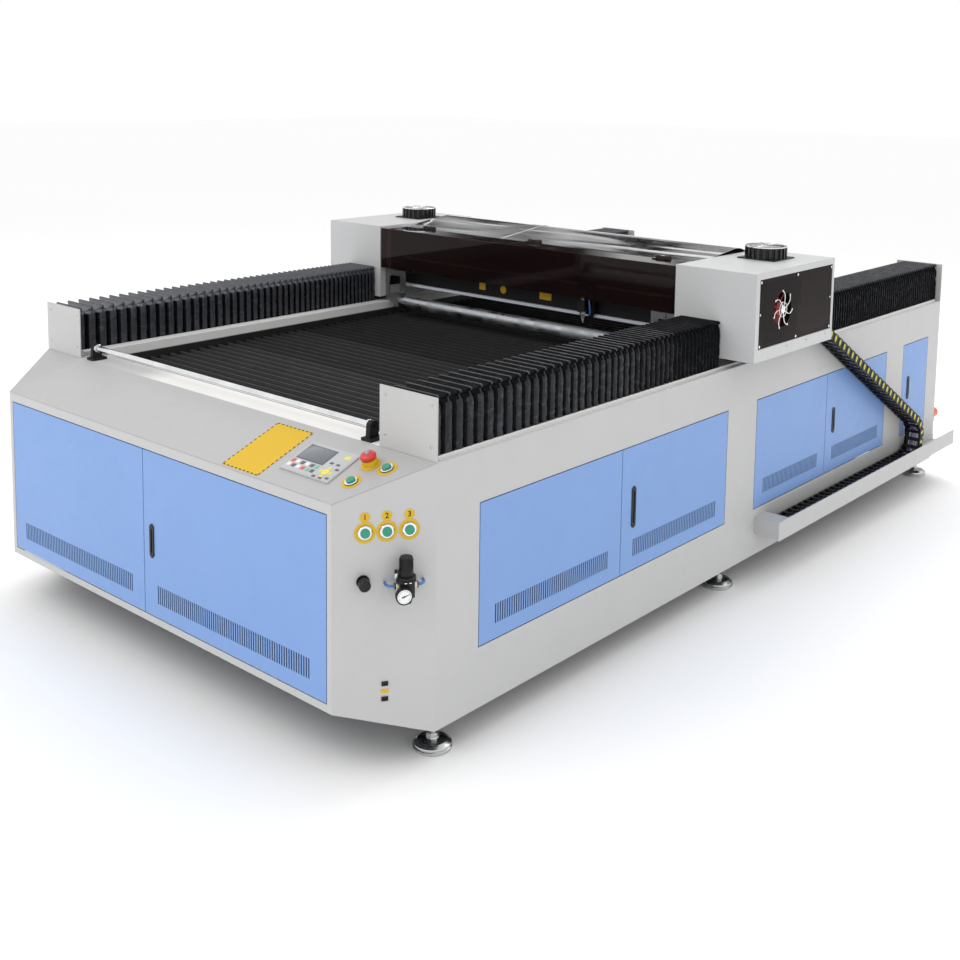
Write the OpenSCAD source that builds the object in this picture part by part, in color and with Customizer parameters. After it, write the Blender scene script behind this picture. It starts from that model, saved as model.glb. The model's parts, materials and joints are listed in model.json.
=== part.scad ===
// Carbon dioxide laser cutting machine, flat-bed type with a travelling gantry.
// Millimetres, +Z up, the front faces -Y. The origin lies on the floor under the middle of the box.

/* [Body] */
// Width of the cabinet
body_w = 2000; // [1800:10:2400]
// Length of the cabinet from the front face to the rear face
body_l = 3700; // [3400:10:4600]
// Height of the table top
table_z = 848; // [800:1:900]
// Height of the lower edge of the sides
body_foot_z = 88; // [80:1:110]
// Height of the lower edge of the front
front_foot_z = 174; // [150:1:190]
// Width of each front corner chamfer, across the machine
chamfer_x = 155; // [120:1:200]
// Depth of each front corner chamfer, along the machine
chamfer_y = 236; // [200:1:280]
// Height of the deck at the front face
deck_front_z = 757; // [735:1:790]
// Thickness of the cabinet sheet
sheet_t = 2; // [1.5:0.5:3]
// Thickness of the deck sheet
deck_t = 2; // [1.5:0.5:3]
// Width of the covered way on each side of the bed
way_w = 223; // [200:1:250]
// Flat ledge between the deck and the bed
ledge_d = 96; // [80:1:120]
// Side of the square frame tube
tube_w = 56; // [40:1:60]

/* [Doors] */
// Clearance round each door leaf
door_gap = 3; // [2.5:0.5:5]
// Depth of the folded edge of a leaf
door_depth = 18; // [14:1:24]
// Lower and upper edge of the front leaves
front_door_z = [199, 722]; // [190:1:740]
// Distance of the front leaves from the chamfers
front_door_margin = 22; // [16:1:40]
// Where the two front leaves meet
front_split_x = -28; // [-60:1:60]
// Lower and upper edge of the side leaves
side_door_z = [272, 692]; // [250:1:720]
// Start, meeting line and end of the long front bay
bay_a_y = [413, 1097, 1750]; // [400:1:1800]
// Start, meeting line and end of the middle bay
bay_b_y = [1963, 2538, 3112]; // [1900:1:3150]
// Start and end of the single rear bay
bay_c_y = [3297, 3573]; // [3250:1:3600]
// Pitch of the vent slots
slot_pitch = 10.4; // [9:0.1:14]
// Width of a vent slot
slot_w = 5; // [4:0.5:6]
// Height of a vent slot
slot_h = 58; // [30:1:70]
// Distance of the slots from the lower edge of a leaf
slot_rise = 46; // [36:1:70]
// Distance of the vents from the side edges of a leaf
slot_margin = 62; // [50:1:90]
// Width of a recessed pull
pull_w = 22; // [18:1:40]
// Height of a recessed pull
pull_h = 108; // [90:1:150]
// How far a pull stands proud
pull_proud = 3; // [2:0.5:4]
// Radius of a door hinge pin
pin_r = 3; // [2.5:0.5:4]

/* [Bed] */
// Depth of the slats below the table top
slat_drop = 34; // [25:1:50]
// Thickness of a slat
slat_t = 3; // [2:0.5:4]
// Height of a slat
slat_h = 40; // [30:1:50]
// Pitch of the slats
slat_pitch = 44; // [38:1:60]
// Width of the rim along each side of the well
well_flange = 20; // [14:1:30]
// Height of the rim above the table top
rim_h = 22; // [16:1:30]
// Depth of the well
well_depth = 300; // [240:1:400]
// Radius of the front roller
roller_r = 10; // [8:0.5:14]
// Height of the roller axis above the table top
roller_rise = 42; // [30:1:50]
// Radius of the exhaust spigot
duct_r = 75; // [60:1:100]
// Length of the exhaust spigot behind the rear face
duct_l = 60; // [40:1:90]

/* [Ways] */
// Height of the end plates and bellows above the table top
bellows_h = 177; // [160:1:200]
// Width of the raised curb between the bed and the bellows
curb_w = 30; // [20:1:40]
// Distance of the bellows from the sides of the cabinet
cover_margin = 20; // [10:1:30]
// Thickness of the bellows walls
bellows_wall = 24; // [18:1:30]
// Thickness of the end plates
plate_t = 3; // [2:0.5:4]
// Width of a guide rail
rail_w = 20; // [15:1:25]
// Height of a guide rail
rail_h = 18; // [14:1:22]

/* [Gantry] */
// Distance of the gantry front from the front face
gantry_y = 1717; // [1600:1:1800]
// Length of the end boxes along the machine
box_l = 600; // [560:1:650]
// How far the end boxes overhang the sides
box_over = 113; // [90:1:130]
// Running height of the gantry above the table top
box_rise = 41; // [36:1:60]
// Height of the end boxes
box_h = 318; // [300:1:340]
// Thickness of the box sheet
box_t = 3; // [2:0.5:4]
// Height of the smoked hood's front face
hood_h = 176; // [150:1:200]
// Depth of the smoked hood's top
hood_d = 118; // [100:1:140]
// Thickness of the smoked acrylic
acrylic_t = 4; // [3:0.5:6]
// Radius of the suction tube
suction_r = 27; // [18:1:30]
// Radius of a cooling fan
fan_r = 75; // [60:1:85]
// Radius of the glass laser tube
laser_tube_r = 40; // [30:1:45]
// Position of the laser carriage across the machine
carriage_x = 325; // [-300:1:340]

/* [Cable chain] */
// Pitch of the chain links
link_pitch = 46; // [40:1:52]
// Width of the chain
chain_w = 74; // [60:1:80]
// Height of a link
link_h = 38; // [30:1:44]
// Number of links in the bend
bend_links = 5; // [4:1:6]
// Number of links in the sloping run
upper_links = 24; // [20:1:26]
// Number of links in the tray
lower_links = 26; // [20:1:30]
// Width of the tray
tray_w = 101; // [90:1:110]
// Height of the tray's outer wall
tray_h = 66; // [50:1:80]
// Height of the tray's floor
tray_z = 172; // [150:1:200]

/* [Controls] */
// Radius of a push button
button_r = 13; // [10:0.5:14]
// Radius of a button's chrome ring
bezel_r = 19.5; // [16:0.5:22]
// Radius of a button's yellow legend
legend_r = 29; // [24:0.5:32]
// Travel of a push button
button_travel = 4; // [3:0.5:5]
// Radius of the emergency stop's head
stop_r = 22; // [18:0.5:26]
// Keypad size across and along the deck
keypad_size = [200, 132]; // [100:1:240]

/* [Feet] */
// Radius of a levelling foot
foot_r = 56; // [45:1:65]
// Height of a foot's pad
pad_h = 34; // [26:1:42]
// Radius of a foot's stem
stem_r = 10; // [8:0.5:12]
// Positions of the feet along the machine
foot_y = [290, 1822, 3635]; // [260:1:3660]
// Distance of the feet from the side faces
foot_in = 60; // [50:1:90]

/* [Hidden] */

$fn = 48;
eps = 0.01;
seat = 0.3;

half_w = body_w / 2;
front_half = half_w - chamfer_x;
bed_half = half_w - way_w;
well_half = bed_half - well_flange;
inlet_l = 62;
inlet_z = 290;
rear_reach = max(inlet_l, duct_l);
mid_y = (body_l + rear_reach - pull_proud) / 2;

deck_angle = atan((table_z - deck_front_z) / chamfer_y);
chamfer_len = norm([chamfer_x, chamfer_y]);
chamfer_turn = atan2(chamfer_y, chamfer_x);
chamfer_n = [chamfer_y / chamfer_len, -chamfer_x / chamfer_len];

bed_y0 = chamfer_y + ledge_d;
bed_y1 = body_l - 110;
slat_top = table_z - slat_drop;
slat_count = floor((bed_y1 - bed_y0 - 2 * slat_pitch * 0.3) / slat_pitch);
slat_y0 = (bed_y0 + bed_y1) / 2 - (slat_count - 1) * slat_pitch / 2;
slat_half = well_half - sheet_t - 1;
comb_h = 50;
comb_t = 6;
comb_notch = 22;
comb_xs = [-0.92 * slat_half, 0, 0.92 * slat_half];

roller_y = chamfer_y + 27;
roller_z = table_z + roller_rise;
roller_half = bed_half - 66;
bracket_t = 16;
curb_x = bed_half + curb_w;
cover_rise = 10;

box_z0 = table_z + box_rise;
box_z1 = box_z0 + box_h;
box_outer = half_w + box_over;
box_inner = bed_half + 3;
gantry_y1 = gantry_y + box_l;
hood_y = gantry_y + 4;
hood_z1 = box_z1 - 7;
hood_half = box_inner - 2;
hinge_r = 4;
hinge_y = hood_y + hood_d + 5;
hinge_z = hood_z1 + 5;
hinge_xs = [-600, 6, 640];
knuckle_l = 20;
beam_y0 = gantry_y + 91;
beam_y1 = beam_y0 + 70;
beam_z0 = box_z0 + 52;
beam_z1 = hood_z1 - 20;
beam_end = 26;
shelf_z = beam_z0 + 70;
rail_strip_h = 12;
rail_strip_d = 12;
suction_y = gantry_y + 24;
suction_z = table_z + 31;
suction_half = 690;
tube_y = gantry_y1 - 170;
tube_z = box_z1 - 104;
cover_y0 = hood_y + hood_d + 24;
cover_y1 = gantry_y1 - 20;
cover_t = 2;
fan_y = gantry_y1 - 205;
fan_x = half_w - 72;
fan_h = 46;
side_fan_y = gantry_y + 201;
side_fan_z = box_z0 + 169;
side_fan_r = 72;
window_y = [gantry_y + 28, gantry_y1 - 16];
window_z = [box_z0 + 46, box_z1 - 24];
pane_x = box_outer - box_t - acrylic_t + 0.4;
head_y = beam_y0 - rail_strip_d - 29;

link_turn = 150 / bend_links;
bend_r = link_pitch / 2 / sin(link_turn / 2);
chain_x = half_w + tray_w / 2 + 0.5;
chain_z = tray_z + sheet_t + seat + link_h / 2;
chain_end_y = gantry_y1 + 28;
bend_y = chain_end_y + upper_links * link_pitch * cos(30) - bend_r * cos(60);
chain_fixed_y = bend_y - lower_links * link_pitch;
tray_y0 = chain_fixed_y - 80;

front_leaf_x = front_half - front_door_margin;
well_z0 = table_z - well_depth;
duct_z = well_z0 + 150;

// ---- placement helpers -------------------------------------------------------------------

// Moves the machine from its front face to the origin under its middle.
module placed() { translate([0, -mid_y, 0]) children(); }

// Local Z leaves the sloping deck at right angles.
module on_deck(x, y) {
    translate([x, y, deck_front_z + y * tan(deck_angle)]) rotate([deck_angle, 0, 0]) children();
}

// Local Z leaves the right front chamfer at right angles, local Y points up.
module on_chamfer(s, z) {
    translate([front_half + s * cos(chamfer_turn), s * sin(chamfer_turn), z])
        rotate([90, 0, chamfer_turn]) children();
}

module both_sides() {
    children();
    mirror([1, 0, 0]) children();
}

// Extrudes an outline given as [y, z] points across the machine from x0 to x1.
module across(x0, x1) {
    translate([x0, 0, 0]) rotate([90, 0, 90]) linear_extrude(x1 - x0) children();
}

// ---- cabinet -----------------------------------------------------------------------------

// Plan of the cabinet, drawn in by d from its outer faces.
module body_plan(d) {
    fx = front_half - d * (1 + chamfer_n[1]) / chamfer_n[0];
    sy = (d + chamfer_n[0] * (chamfer_x - d)) / -chamfer_n[1];
    polygon([[-fx, d], [fx, d], [half_w - d, sy], [half_w - d, body_l - d],
             [-half_w + d, body_l - d], [-half_w + d, sy]]);
}

module front_opening(x0, x1) {
    translate([x0 - door_gap, -1, front_door_z[0] - door_gap])
        cube([x1 - x0 + 2 * door_gap, sheet_t + 2, front_door_z[1] - front_door_z[0] + 2 * door_gap]);
}

module side_opening(y0, y1) {
    translate([half_w - sheet_t - 1, y0 - door_gap, side_door_z[0] - door_gap])
        cube([sheet_t + 2, y1 - y0 + 2 * door_gap, side_door_z[1] - side_door_z[0] + 2 * door_gap]);
}

// Space under the sloping lower edges of the front.
module foot_cut() {
    slope_y = chamfer_y;
    across(-half_w - 1, half_w + 1)
        polygon([[-1, body_foot_z - 1], [slope_y, body_foot_z - 1], [slope_y, body_foot_z + eps],
                 [0, front_foot_z], [-1, front_foot_z]]);
}

lug_l = 16;
lug_t = 4;

// One pair of hinge lugs for a leaf whose pin stands at the local origin, inside the opening.
module lug_pair(h) {
    for (z = [-door_gap - lug_t, h + door_gap])
        translate([0, 0, z])
            difference() {
                translate([-lug_l / 2, sheet_t - pin_in - eps, 0]) cube([lug_l, lug_l - 5, lug_t]);
                translate([0, 0, -1]) cylinder(r = pin_r + 0.05, h = lug_t + 2);
            }
}

pin_in = 5.5;

module front_lugs() {
    for (s = [-1, 1])
        translate([s * (front_leaf_x - pin_in), pin_in, front_door_z[0]])
            lug_pair(front_door_z[1] - front_door_z[0]);
}

module side_lugs(y, dir) {
    translate([half_w - pin_in, y + dir * pin_in, side_door_z[0]])
        rotate([0, 0, 90]) lug_pair(side_door_z[1] - side_door_z[0]);
}

module cabinet_shell() {
    color("gainsboro")
        placed()
            difference() {
                union() {
                    difference() {
                        translate([0, 0, body_foot_z]) linear_extrude(table_z - body_foot_z) body_plan(0);
                        translate([0, 0, body_foot_z - 1])
                            linear_extrude(table_z - sheet_t - body_foot_z + 1) body_plan(sheet_t);
                        translate([-bed_half, -1, body_foot_z])
                            cube([2 * bed_half, body_l - 60, table_z]);
                        across(-half_w - 1, half_w + 1)
                            polygon([[-1, deck_front_z - deck_t - tan(deck_angle)],
                                     [chamfer_y, table_z - deck_t], [chamfer_y, table_z + 1],
                                     [-1, table_z + 1]]);
                    }
                    translate([-front_half, 0, front_foot_z])
                        cube([2 * front_half, sheet_t, deck_front_z - deck_t - front_foot_z]);
                    front_lugs();
                    both_sides() {
                        side_lugs(bay_a_y[0], 1);
                        side_lugs(bay_a_y[2], -1);
                        side_lugs(bay_b_y[0], 1);
                        side_lugs(bay_b_y[2], -1);
                        side_lugs(bay_c_y[1], -1);
                    }
                }
                foot_cut();
                front_opening(-front_leaf_x, front_leaf_x);
                both_sides() {
                    side_opening(bay_a_y[0], bay_a_y[2]);
                    side_opening(bay_b_y[0], bay_b_y[2]);
                    side_opening(bay_c_y[0], bay_c_y[1]);
                }
                translate([0, body_l - sheet_t - 1, duct_z]) rotate([-90, 0, 0])
                    cylinder(r = duct_r - 2 + seat, h = sheet_t + 2);
                deck_holes();
            }
}

// ---- frame -------------------------------------------------------------------------------

frame_x = half_w - foot_in;
frame_y0 = foot_y[0] - tube_w / 2;
frame_y1 = foot_y[2] + tube_w / 2;
post_ys = [foot_y[0], foot_y[1] + 18, (bay_b_y[2] + bay_c_y[0]) / 2, foot_y[2]];

module tube_at(p, size) {
    translate(p) cube(size);
}

// Side rails, posts and cross tubes, each a tube of its own set seat apart at the welds.
module base_frame() {
    top_z = table_z - sheet_t - seat;
    post_z = body_foot_z + tube_w + seat;
    cross_x = frame_x - tube_w / 2 - seat;
    color("dimgray")
        placed()
            difference() {
                union() {
                    both_sides() {
                        tube_at([frame_x - tube_w / 2, frame_y0, body_foot_z],
                                [tube_w, frame_y1 - frame_y0, tube_w]);
                        tube_at([frame_x - tube_w / 2, frame_y0, top_z - tube_w],
                                [tube_w, frame_y1 - frame_y0, tube_w]);
                        for (y = post_ys)
                            tube_at([frame_x - tube_w / 2, y - tube_w / 2, post_z],
                                    [tube_w, tube_w, top_z - tube_w - seat - post_z]);
                    }
                    for (y = post_ys)
                        tube_at([-cross_x, y - tube_w / 2, body_foot_z], [2 * cross_x, tube_w, tube_w]);
                }
                for (s = [-1, 1], y = foot_y)
                    translate([s * frame_x, y, body_foot_z - 1]) cylinder(r = stem_r + 0.05, h = 42);
            }
}

module levelling_foot() {
    // Rubber-edged steel pad with a domed top.
    rotate_extrude()
        polygon([[0, 0], [foot_r - 4, 0], [foot_r, 3], [foot_r, 10], [foot_r - 3, 12], [foot_r - 3, 14],
                 [foot_r - 1, 16], [foot_r - 2, 19], [foot_r - 14, 27], [stem_r + 8, 31],
                 [stem_r + 6, pad_h], [0, pad_h]]);
    translate([0, 0, pad_h]) cylinder(r = stem_r, h = body_foot_z - pad_h + 40);
}

module foot_nut(z) {
    translate([0, 0, z])
        difference() {
            cylinder(r = stem_r + 8, h = 13, $fn = 6);
            translate([0, 0, -1]) cylinder(r = stem_r + 0.1, h = 15);
        }
}

module levelling_feet() {
    color("silver")
        placed()
            for (s = [-1, 1], y = foot_y)
                translate([s * frame_x, y, 0]) {
                    levelling_foot();
                    foot_nut(pad_h + 0.5);
                    foot_nut(body_foot_z - 13.5);
                }
}

// ---- deck --------------------------------------------------------------------------------

deck_buttons = [[823, 89], [879, 167]];
stop_at = [819, 164];
start_buttons = [88, 147, 208];
start_z = 672;
hole_r = 11.2;
keypad_at = [664, 118];

module deck_holes() {
    for (p = deck_buttons) on_deck(p[0], p[1]) translate([0, 0, -20]) cylinder(r = hole_r, h = 40);
    on_deck(stop_at[0], stop_at[1]) translate([0, 0, -20]) cylinder(r = hole_r, h = 40);
    for (s = start_buttons) on_chamfer(s, start_z) translate([0, 0, -20]) cylinder(r = hole_r, h = 40);
}

module control_deck() {
    color("gainsboro")
        placed()
            difference() {
                union() {
                    intersection() {
                        translate([0, 0, deck_front_z - 60]) linear_extrude(200) body_plan(0);
                        across(-half_w - 1, half_w + 1)
                            polygon([[0, deck_front_z - deck_t], [chamfer_y, table_z - deck_t],
                                     [chamfer_y, table_z], [0, deck_front_z]]);
                    }
                    // Flat ledge behind the slope.
                    translate([-bed_half, chamfer_y - eps, table_z - deck_t])
                        cube([2 * bed_half, ledge_d, deck_t]);
                }
                deck_holes();
                on_deck(keypad_at[0], keypad_at[1])
                    cube([keypad_size[0] - 24, keypad_size[1] - 24, 40], center = true);
            }
}

module keypad() {
    color("lightgray")
        placed()
            on_deck(keypad_at[0], keypad_at[1])
                difference() {
                    union() {
                        translate([-keypad_size[0] / 2, -keypad_size[1] / 2, seat])
                            cube([keypad_size[0], keypad_size[1], 4]);
                        translate([-keypad_size[0] / 2 + 14, -keypad_size[1] / 2 + 14, -30])
                            cube([keypad_size[0] - 28, keypad_size[1] - 28, 31]);
                    }
                    // Recessed display.
                    translate([-keypad_size[0] / 2 + 14, -8, 3]) cube([106, 58, 3]);
                }
}

// ---- doors -------------------------------------------------------------------------------

// Row of upright vent slots, centred on x = 0, standing on y = 0.
module slot_row(w) {
    count = floor(w / slot_pitch);
    for (i = [0:count - 1])
        translate([(i - (count - 1) / 2) * slot_pitch - slot_w / 2, 0]) square([slot_w, slot_h]);
}

// Recessed pull with bevelled ends; local Z points out of the leaf.
module pull(h) {
    c = 8;
    difference() {
        union() {
            linear_extrude(pull_proud)
                polygon([[-pull_w / 2, -h / 2 + c], [-pull_w / 2 + c, -h / 2], [pull_w / 2 - c, -h / 2],
                         [pull_w / 2, -h / 2 + c], [pull_w / 2, h / 2 - c], [pull_w / 2 - c, h / 2],
                         [-pull_w / 2 + c, h / 2], [-pull_w / 2, h / 2 - c]]);
            translate([-pull_w / 2 + 5, -h / 2 + 12, -12]) cube([pull_w - 10, h - 24, 12 + eps]);
        }
        translate([-pull_w / 2 + 8, -h / 2 + 16, -9]) cube([pull_w - 16, h - 32, 20]);
    }
}

// A door leaf of size w by h. Local X runs from the hinge edge, local Z is up, the outer face is y = 0.
// grip is the pull's place from the hinge edge and its height above the lower edge; [0, 0] leaves it out.
module leaf(w, h, grip, grip_h, vent) {
    difference() {
        union() {
            rotate([90, 0, 0]) translate([0, 0, -sheet_t])
                linear_extrude(sheet_t)
                    difference() {
                        square([w, h]);
                        if (vent)
                            translate([w / 2, slot_rise]) slot_row(w - 2 * slot_margin);
                    }
            difference() {
                translate([0, sheet_t - eps, 0]) cube([w, door_depth - sheet_t, h]);
                translate([sheet_t, 0, sheet_t]) cube([w - 2 * sheet_t, door_depth + 1, h - 2 * sheet_t]);
            }
            // Blocks that carry the hinge pins.
            for (z = [0, h - 30])
                translate([sheet_t - eps, sheet_t - eps, z]) cube([8, 8, 30]);
        }
        if (grip_h > 0)
            translate([grip[0] - pull_w / 2 + 4.7, -1, grip[1] - grip_h / 2 + 11.7])
                cube([pull_w - 9.4, sheet_t + 2, grip_h - 23.4]);
    }
    if (grip_h > 0)
        translate([grip[0], 0, grip[1]]) rotate([90, 0, 0]) pull(grip_h);
    for (z = [-door_gap - lug_t + 0.5, h - 24])
        translate([pin_in, pin_in, z]) cylinder(r = pin_r, h = 24 + door_gap + lug_t - 0.5);
}

module front_leaf(side) {
    x_hinge = side * front_leaf_x;
    x_meet = front_split_x + side * door_gap / 2;
    w = abs(x_meet - x_hinge);
    h = front_door_z[1] - front_door_z[0];
    grip = [w - 43, 241];
    translate([x_hinge, 0, front_door_z[0]])
        if (side < 0)
            leaf(w, h, grip, 0, true);
        else
            mirror([1, 0, 0]) leaf(w, h, grip, pull_h, true);
}

// Side leaf on the right: hinged at y_h, reaching to y_m.
module side_leaf(y_h, y_m, grip_h, vent) {
    dir = sign(y_m - y_h);
    w = abs(y_m - y_h);
    h = side_door_z[1] - side_door_z[0];
    grip = [w - 66, 215];
    translate([half_w, y_h, side_door_z[0]])
        rotate([0, 0, 90])
            if (dir > 0)
                leaf(w, h, grip, grip_h, vent);
            else
                mirror([1, 0, 0]) leaf(w, h, grip, grip_h, vent);
}

half_gap = door_gap / 2;
bay_a_pull = 140;

module front_door_left() { color("cornflowerblue") placed() front_leaf(-1); }
module front_door_right() { color("cornflowerblue") placed() front_leaf(1); }

module side_door_1() { side_leaf(bay_a_y[0], bay_a_y[1] - half_gap, 0, true); }
module side_door_2() { side_leaf(bay_a_y[2], bay_a_y[1] + half_gap, bay_a_pull, true); }
module side_door_3() { side_leaf(bay_b_y[0], bay_b_y[1] - half_gap, 0, true); }
module side_door_4() { side_leaf(bay_b_y[2], bay_b_y[1] + half_gap, pull_h, true); }
module side_door_5() { side_leaf(bay_c_y[1], bay_c_y[0], pull_h, false); }

module right_door_1() { color("cornflowerblue") placed() side_door_1(); }
module right_door_2() { color("cornflowerblue") placed() side_door_2(); }
module right_door_3() { color("cornflowerblue") placed() side_door_3(); }
module chain_side_doors() {
    color("cornflowerblue")
        placed() {
            side_door_4();
            side_door_5();
        }
}
module left_side() { placed() mirror([1, 0, 0]) children(); }
module left_door_1() { color("cornflowerblue") left_side() side_door_1(); }
module left_door_2() { color("cornflowerblue") left_side() side_door_2(); }
module left_door_3() { color("cornflowerblue") left_side() side_door_3(); }
module left_door_4() { color("cornflowerblue") left_side() side_door_4(); }
module left_door_5() { color("cornflowerblue") left_side() side_door_5(); }

// ---- bed ---------------------------------------------------------------------------------

module bed_well() {
    color("gainsboro")
        placed() {
            difference() {
                translate([-well_half, bed_y0 + seat, well_z0])
                    cube([2 * well_half, bed_y1 - bed_y0 - seat, table_z + rim_h - well_z0]);
                translate([-well_half + sheet_t, bed_y0 + seat + sheet_t, well_z0 + sheet_t])
                    cube([2 * well_half - 2 * sheet_t, bed_y1 - bed_y0 - seat - 2 * sheet_t,
                          well_depth + rim_h]);
                // Lower walls at the front and the rear.
                for (y = [bed_y0 - 1, bed_y1 - sheet_t - 1])
                    translate([-well_half + sheet_t, y, table_z])
                        cube([2 * well_half - 2 * sheet_t, 5, rim_h + 1]);
                translate([0, bed_y1 - 5, duct_z]) rotate([-90, 0, 0])
                    cylinder(r = duct_r - 2 - sheet_t, h = 10);
            }
            // Folded rim over each side wall.
            both_sides()
                across_y(bed_y0 + seat, bed_y1)
                    polygon([[well_half - eps, table_z + rim_h - sheet_t],
                             [bed_half - seat - sheet_t, table_z + rim_h - sheet_t],
                             [bed_half - seat - sheet_t, table_z - sheet_t],
                             [bed_half - seat, table_z - sheet_t],
                             [bed_half - seat, table_z + rim_h], [well_half - eps, table_z + rim_h]]);
            translate([0, bed_y1 - eps, duct_z]) rotate([-90, 0, 0])
                difference() {
                    union() {
                        cylinder(r = duct_r - 2, h = body_l - bed_y1 + 5);
                        translate([0, 0, body_l - bed_y1 + 4]) cylinder(r = duct_r, h = duct_l - 4);
                    }
                    translate([0, 0, -1]) cylinder(r = duct_r - 2 - sheet_t, h = 400);
                }
        }
}

module bed_slats() {
    color("black")
        placed()
            for (i = [0:slat_count - 1])
                translate([-slat_half, slat_y0 + i * slat_pitch - slat_t / 2, slat_top - slat_h])
                    cube([2 * slat_half, slat_t, slat_h]);
}

// Notched bars that carry the slats.
module slat_combs() {
    z0 = slat_top - slat_h - comb_h + comb_notch;
    color("dimgray")
        placed()
            for (x = comb_xs)
                across(x - comb_t / 2, x + comb_t / 2)
                    difference() {
                        translate([bed_y0 + sheet_t + 2 * seat, z0])
                            square([bed_y1 - bed_y0 - 2 * sheet_t - 3 * seat, comb_h]);
                        for (i = [0:slat_count - 1])
                            translate([slat_y0 + i * slat_pitch - slat_t / 2 - 0.2, z0 + comb_h - comb_notch])
                                square([slat_t + 0.4, comb_notch + 1]);
                    }
}

journal_r = 6;
collar_r = roller_r + 5;
roller_l = 2 * roller_half;

module front_roller() {
    color("silver")
        placed()
            translate([0, roller_y, roller_z]) rotate([0, 90, 0])
                translate([0, 0, -roller_half])
                    rotate_extrude()
                        polygon([[0, -8], [journal_r, -8], [journal_r, 1], [collar_r - 2, 1], [collar_r, 3],
                                 [collar_r, 8], [collar_r - 2, 10], [roller_r, 10], [roller_r, roller_l - 10],
                                 [collar_r - 2, roller_l - 10], [collar_r, roller_l - 8],
                                 [collar_r, roller_l - 3], [collar_r - 2, roller_l - 1],
                                 [journal_r, roller_l - 1], [journal_r, roller_l + 8], [0, roller_l + 8]]);
}

module roller_brackets() {
    color("black")
        placed()
            both_sides()
                translate([roller_half, 0, 0])
                    difference() {
                        union() {
                            across(0, bracket_t)
                                polygon([[chamfer_y + 8, table_z], [chamfer_y + 46, table_z],
                                         [chamfer_y + 43, roller_z + 6], [chamfer_y + 34, roller_z + 15],
                                         [chamfer_y + 20, roller_z + 15], [chamfer_y + 11, roller_z + 6]]);
                            // Foot screwed on the ledge.
                            translate([-12, chamfer_y + 2, table_z]) cube([bracket_t + 24, 56, 9]);
                        }
                        translate([-1, roller_y, roller_z]) rotate([0, 90, 0])
                            cylinder(r = journal_r + 0.05, h = bracket_t + 2);
                        for (x = [-6, bracket_t + 6], y = [chamfer_y + 12, chamfer_y + 48])
                            translate([x, y, table_z + 5]) cylinder(r = 3.5, h = 5);
                    }
}

// ---- ways --------------------------------------------------------------------------------

rail_x = half_w - way_w / 2;
rail_y0 = chamfer_y + 15;
curb_z = table_z + rim_h;

module y_rails() {
    color("silver")
        placed()
            both_sides() {
                translate([rail_x - rail_w / 2, rail_y0, table_z])
                    cube([rail_w, body_l - rail_y0 - 15, rail_h * 0.45]);
                translate([rail_x - rail_w / 2 + 3, rail_y0, table_z + rail_h * 0.45 - eps])
                    cube([rail_w - 6, body_l - rail_y0 - 15, rail_h * 0.2]);
                translate([rail_x - rail_w / 2, rail_y0, table_z + rail_h * 0.65 - 2 * eps])
                    cube([rail_w, body_l - rail_y0 - 15, rail_h * 0.35]);
            }
}

module end_plate(y, fold) {
    translate([bed_half, y, table_z]) cube([way_w, plate_t, bellows_h]);
    translate([bed_half, fold > 0 ? y : y - 14 + plate_t, table_z]) cube([way_w, 14, plate_t]);
}

module bellows_end_plates() {
    color("white")
        placed()
            both_sides() {
                end_plate(chamfer_y, 1);
                end_plate(body_l - plate_t, -1);
                // Curbs that the covers stand between.
                across_y(rail_y0, body_l - 15)
                    polygon([[bed_half, curb_z - sheet_t], [curb_x - sheet_t, curb_z - sheet_t],
                             [curb_x - sheet_t, table_z], [curb_x, table_z], [curb_x, curb_z],
                             [bed_half, curb_z]]);
                translate([half_w - cover_margin - 4, rail_y0, table_z])
                    cube([4, body_l - 15 - rail_y0, cover_rise - 1]);
            }
}

// Inverted trough that stands for a pleated cover between y0 and y1 on the right-hand way.
module bellows(y0, y1) {
    z0 = table_z + cover_rise;
    z1 = table_z + bellows_h;
    x0 = curb_x + 1;
    x1 = half_w - cover_margin;
    across_y(y0, y1)
        polygon([[x0, z0], [x0 + bellows_wall, z0], [x0 + bellows_wall, z1 - bellows_wall],
                 [x1 - bellows_wall, z1 - bellows_wall], [x1 - bellows_wall, z0], [x1, z0],
                 [x1, z1], [x0, z1]]);
}

// Extrudes an outline given as [x, z] points along the machine from y0 to y1.
module across_y(y0, y1) {
    translate([0, y1, 0]) rotate([90, 0, 0]) linear_extrude(y1 - y0) children();
}

front_bellows_y = [chamfer_y + plate_t + seat, gantry_y - seat];
rear_bellows_y = [gantry_y1 + seat, body_l - plate_t - seat];

module bellows_front_right() { color("black") placed() bellows(front_bellows_y[0], front_bellows_y[1]); }
module bellows_rear_right() { color("black") placed() bellows(rear_bellows_y[0], rear_bellows_y[1]); }
module bellows_front_left() { color("black") left_side() bellows(front_bellows_y[0], front_bellows_y[1]); }
module bellows_rear_left() { color("black") left_side() bellows(rear_bellows_y[0], rear_bellows_y[1]); }

// ---- cable chain -------------------------------------------------------------------------

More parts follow.
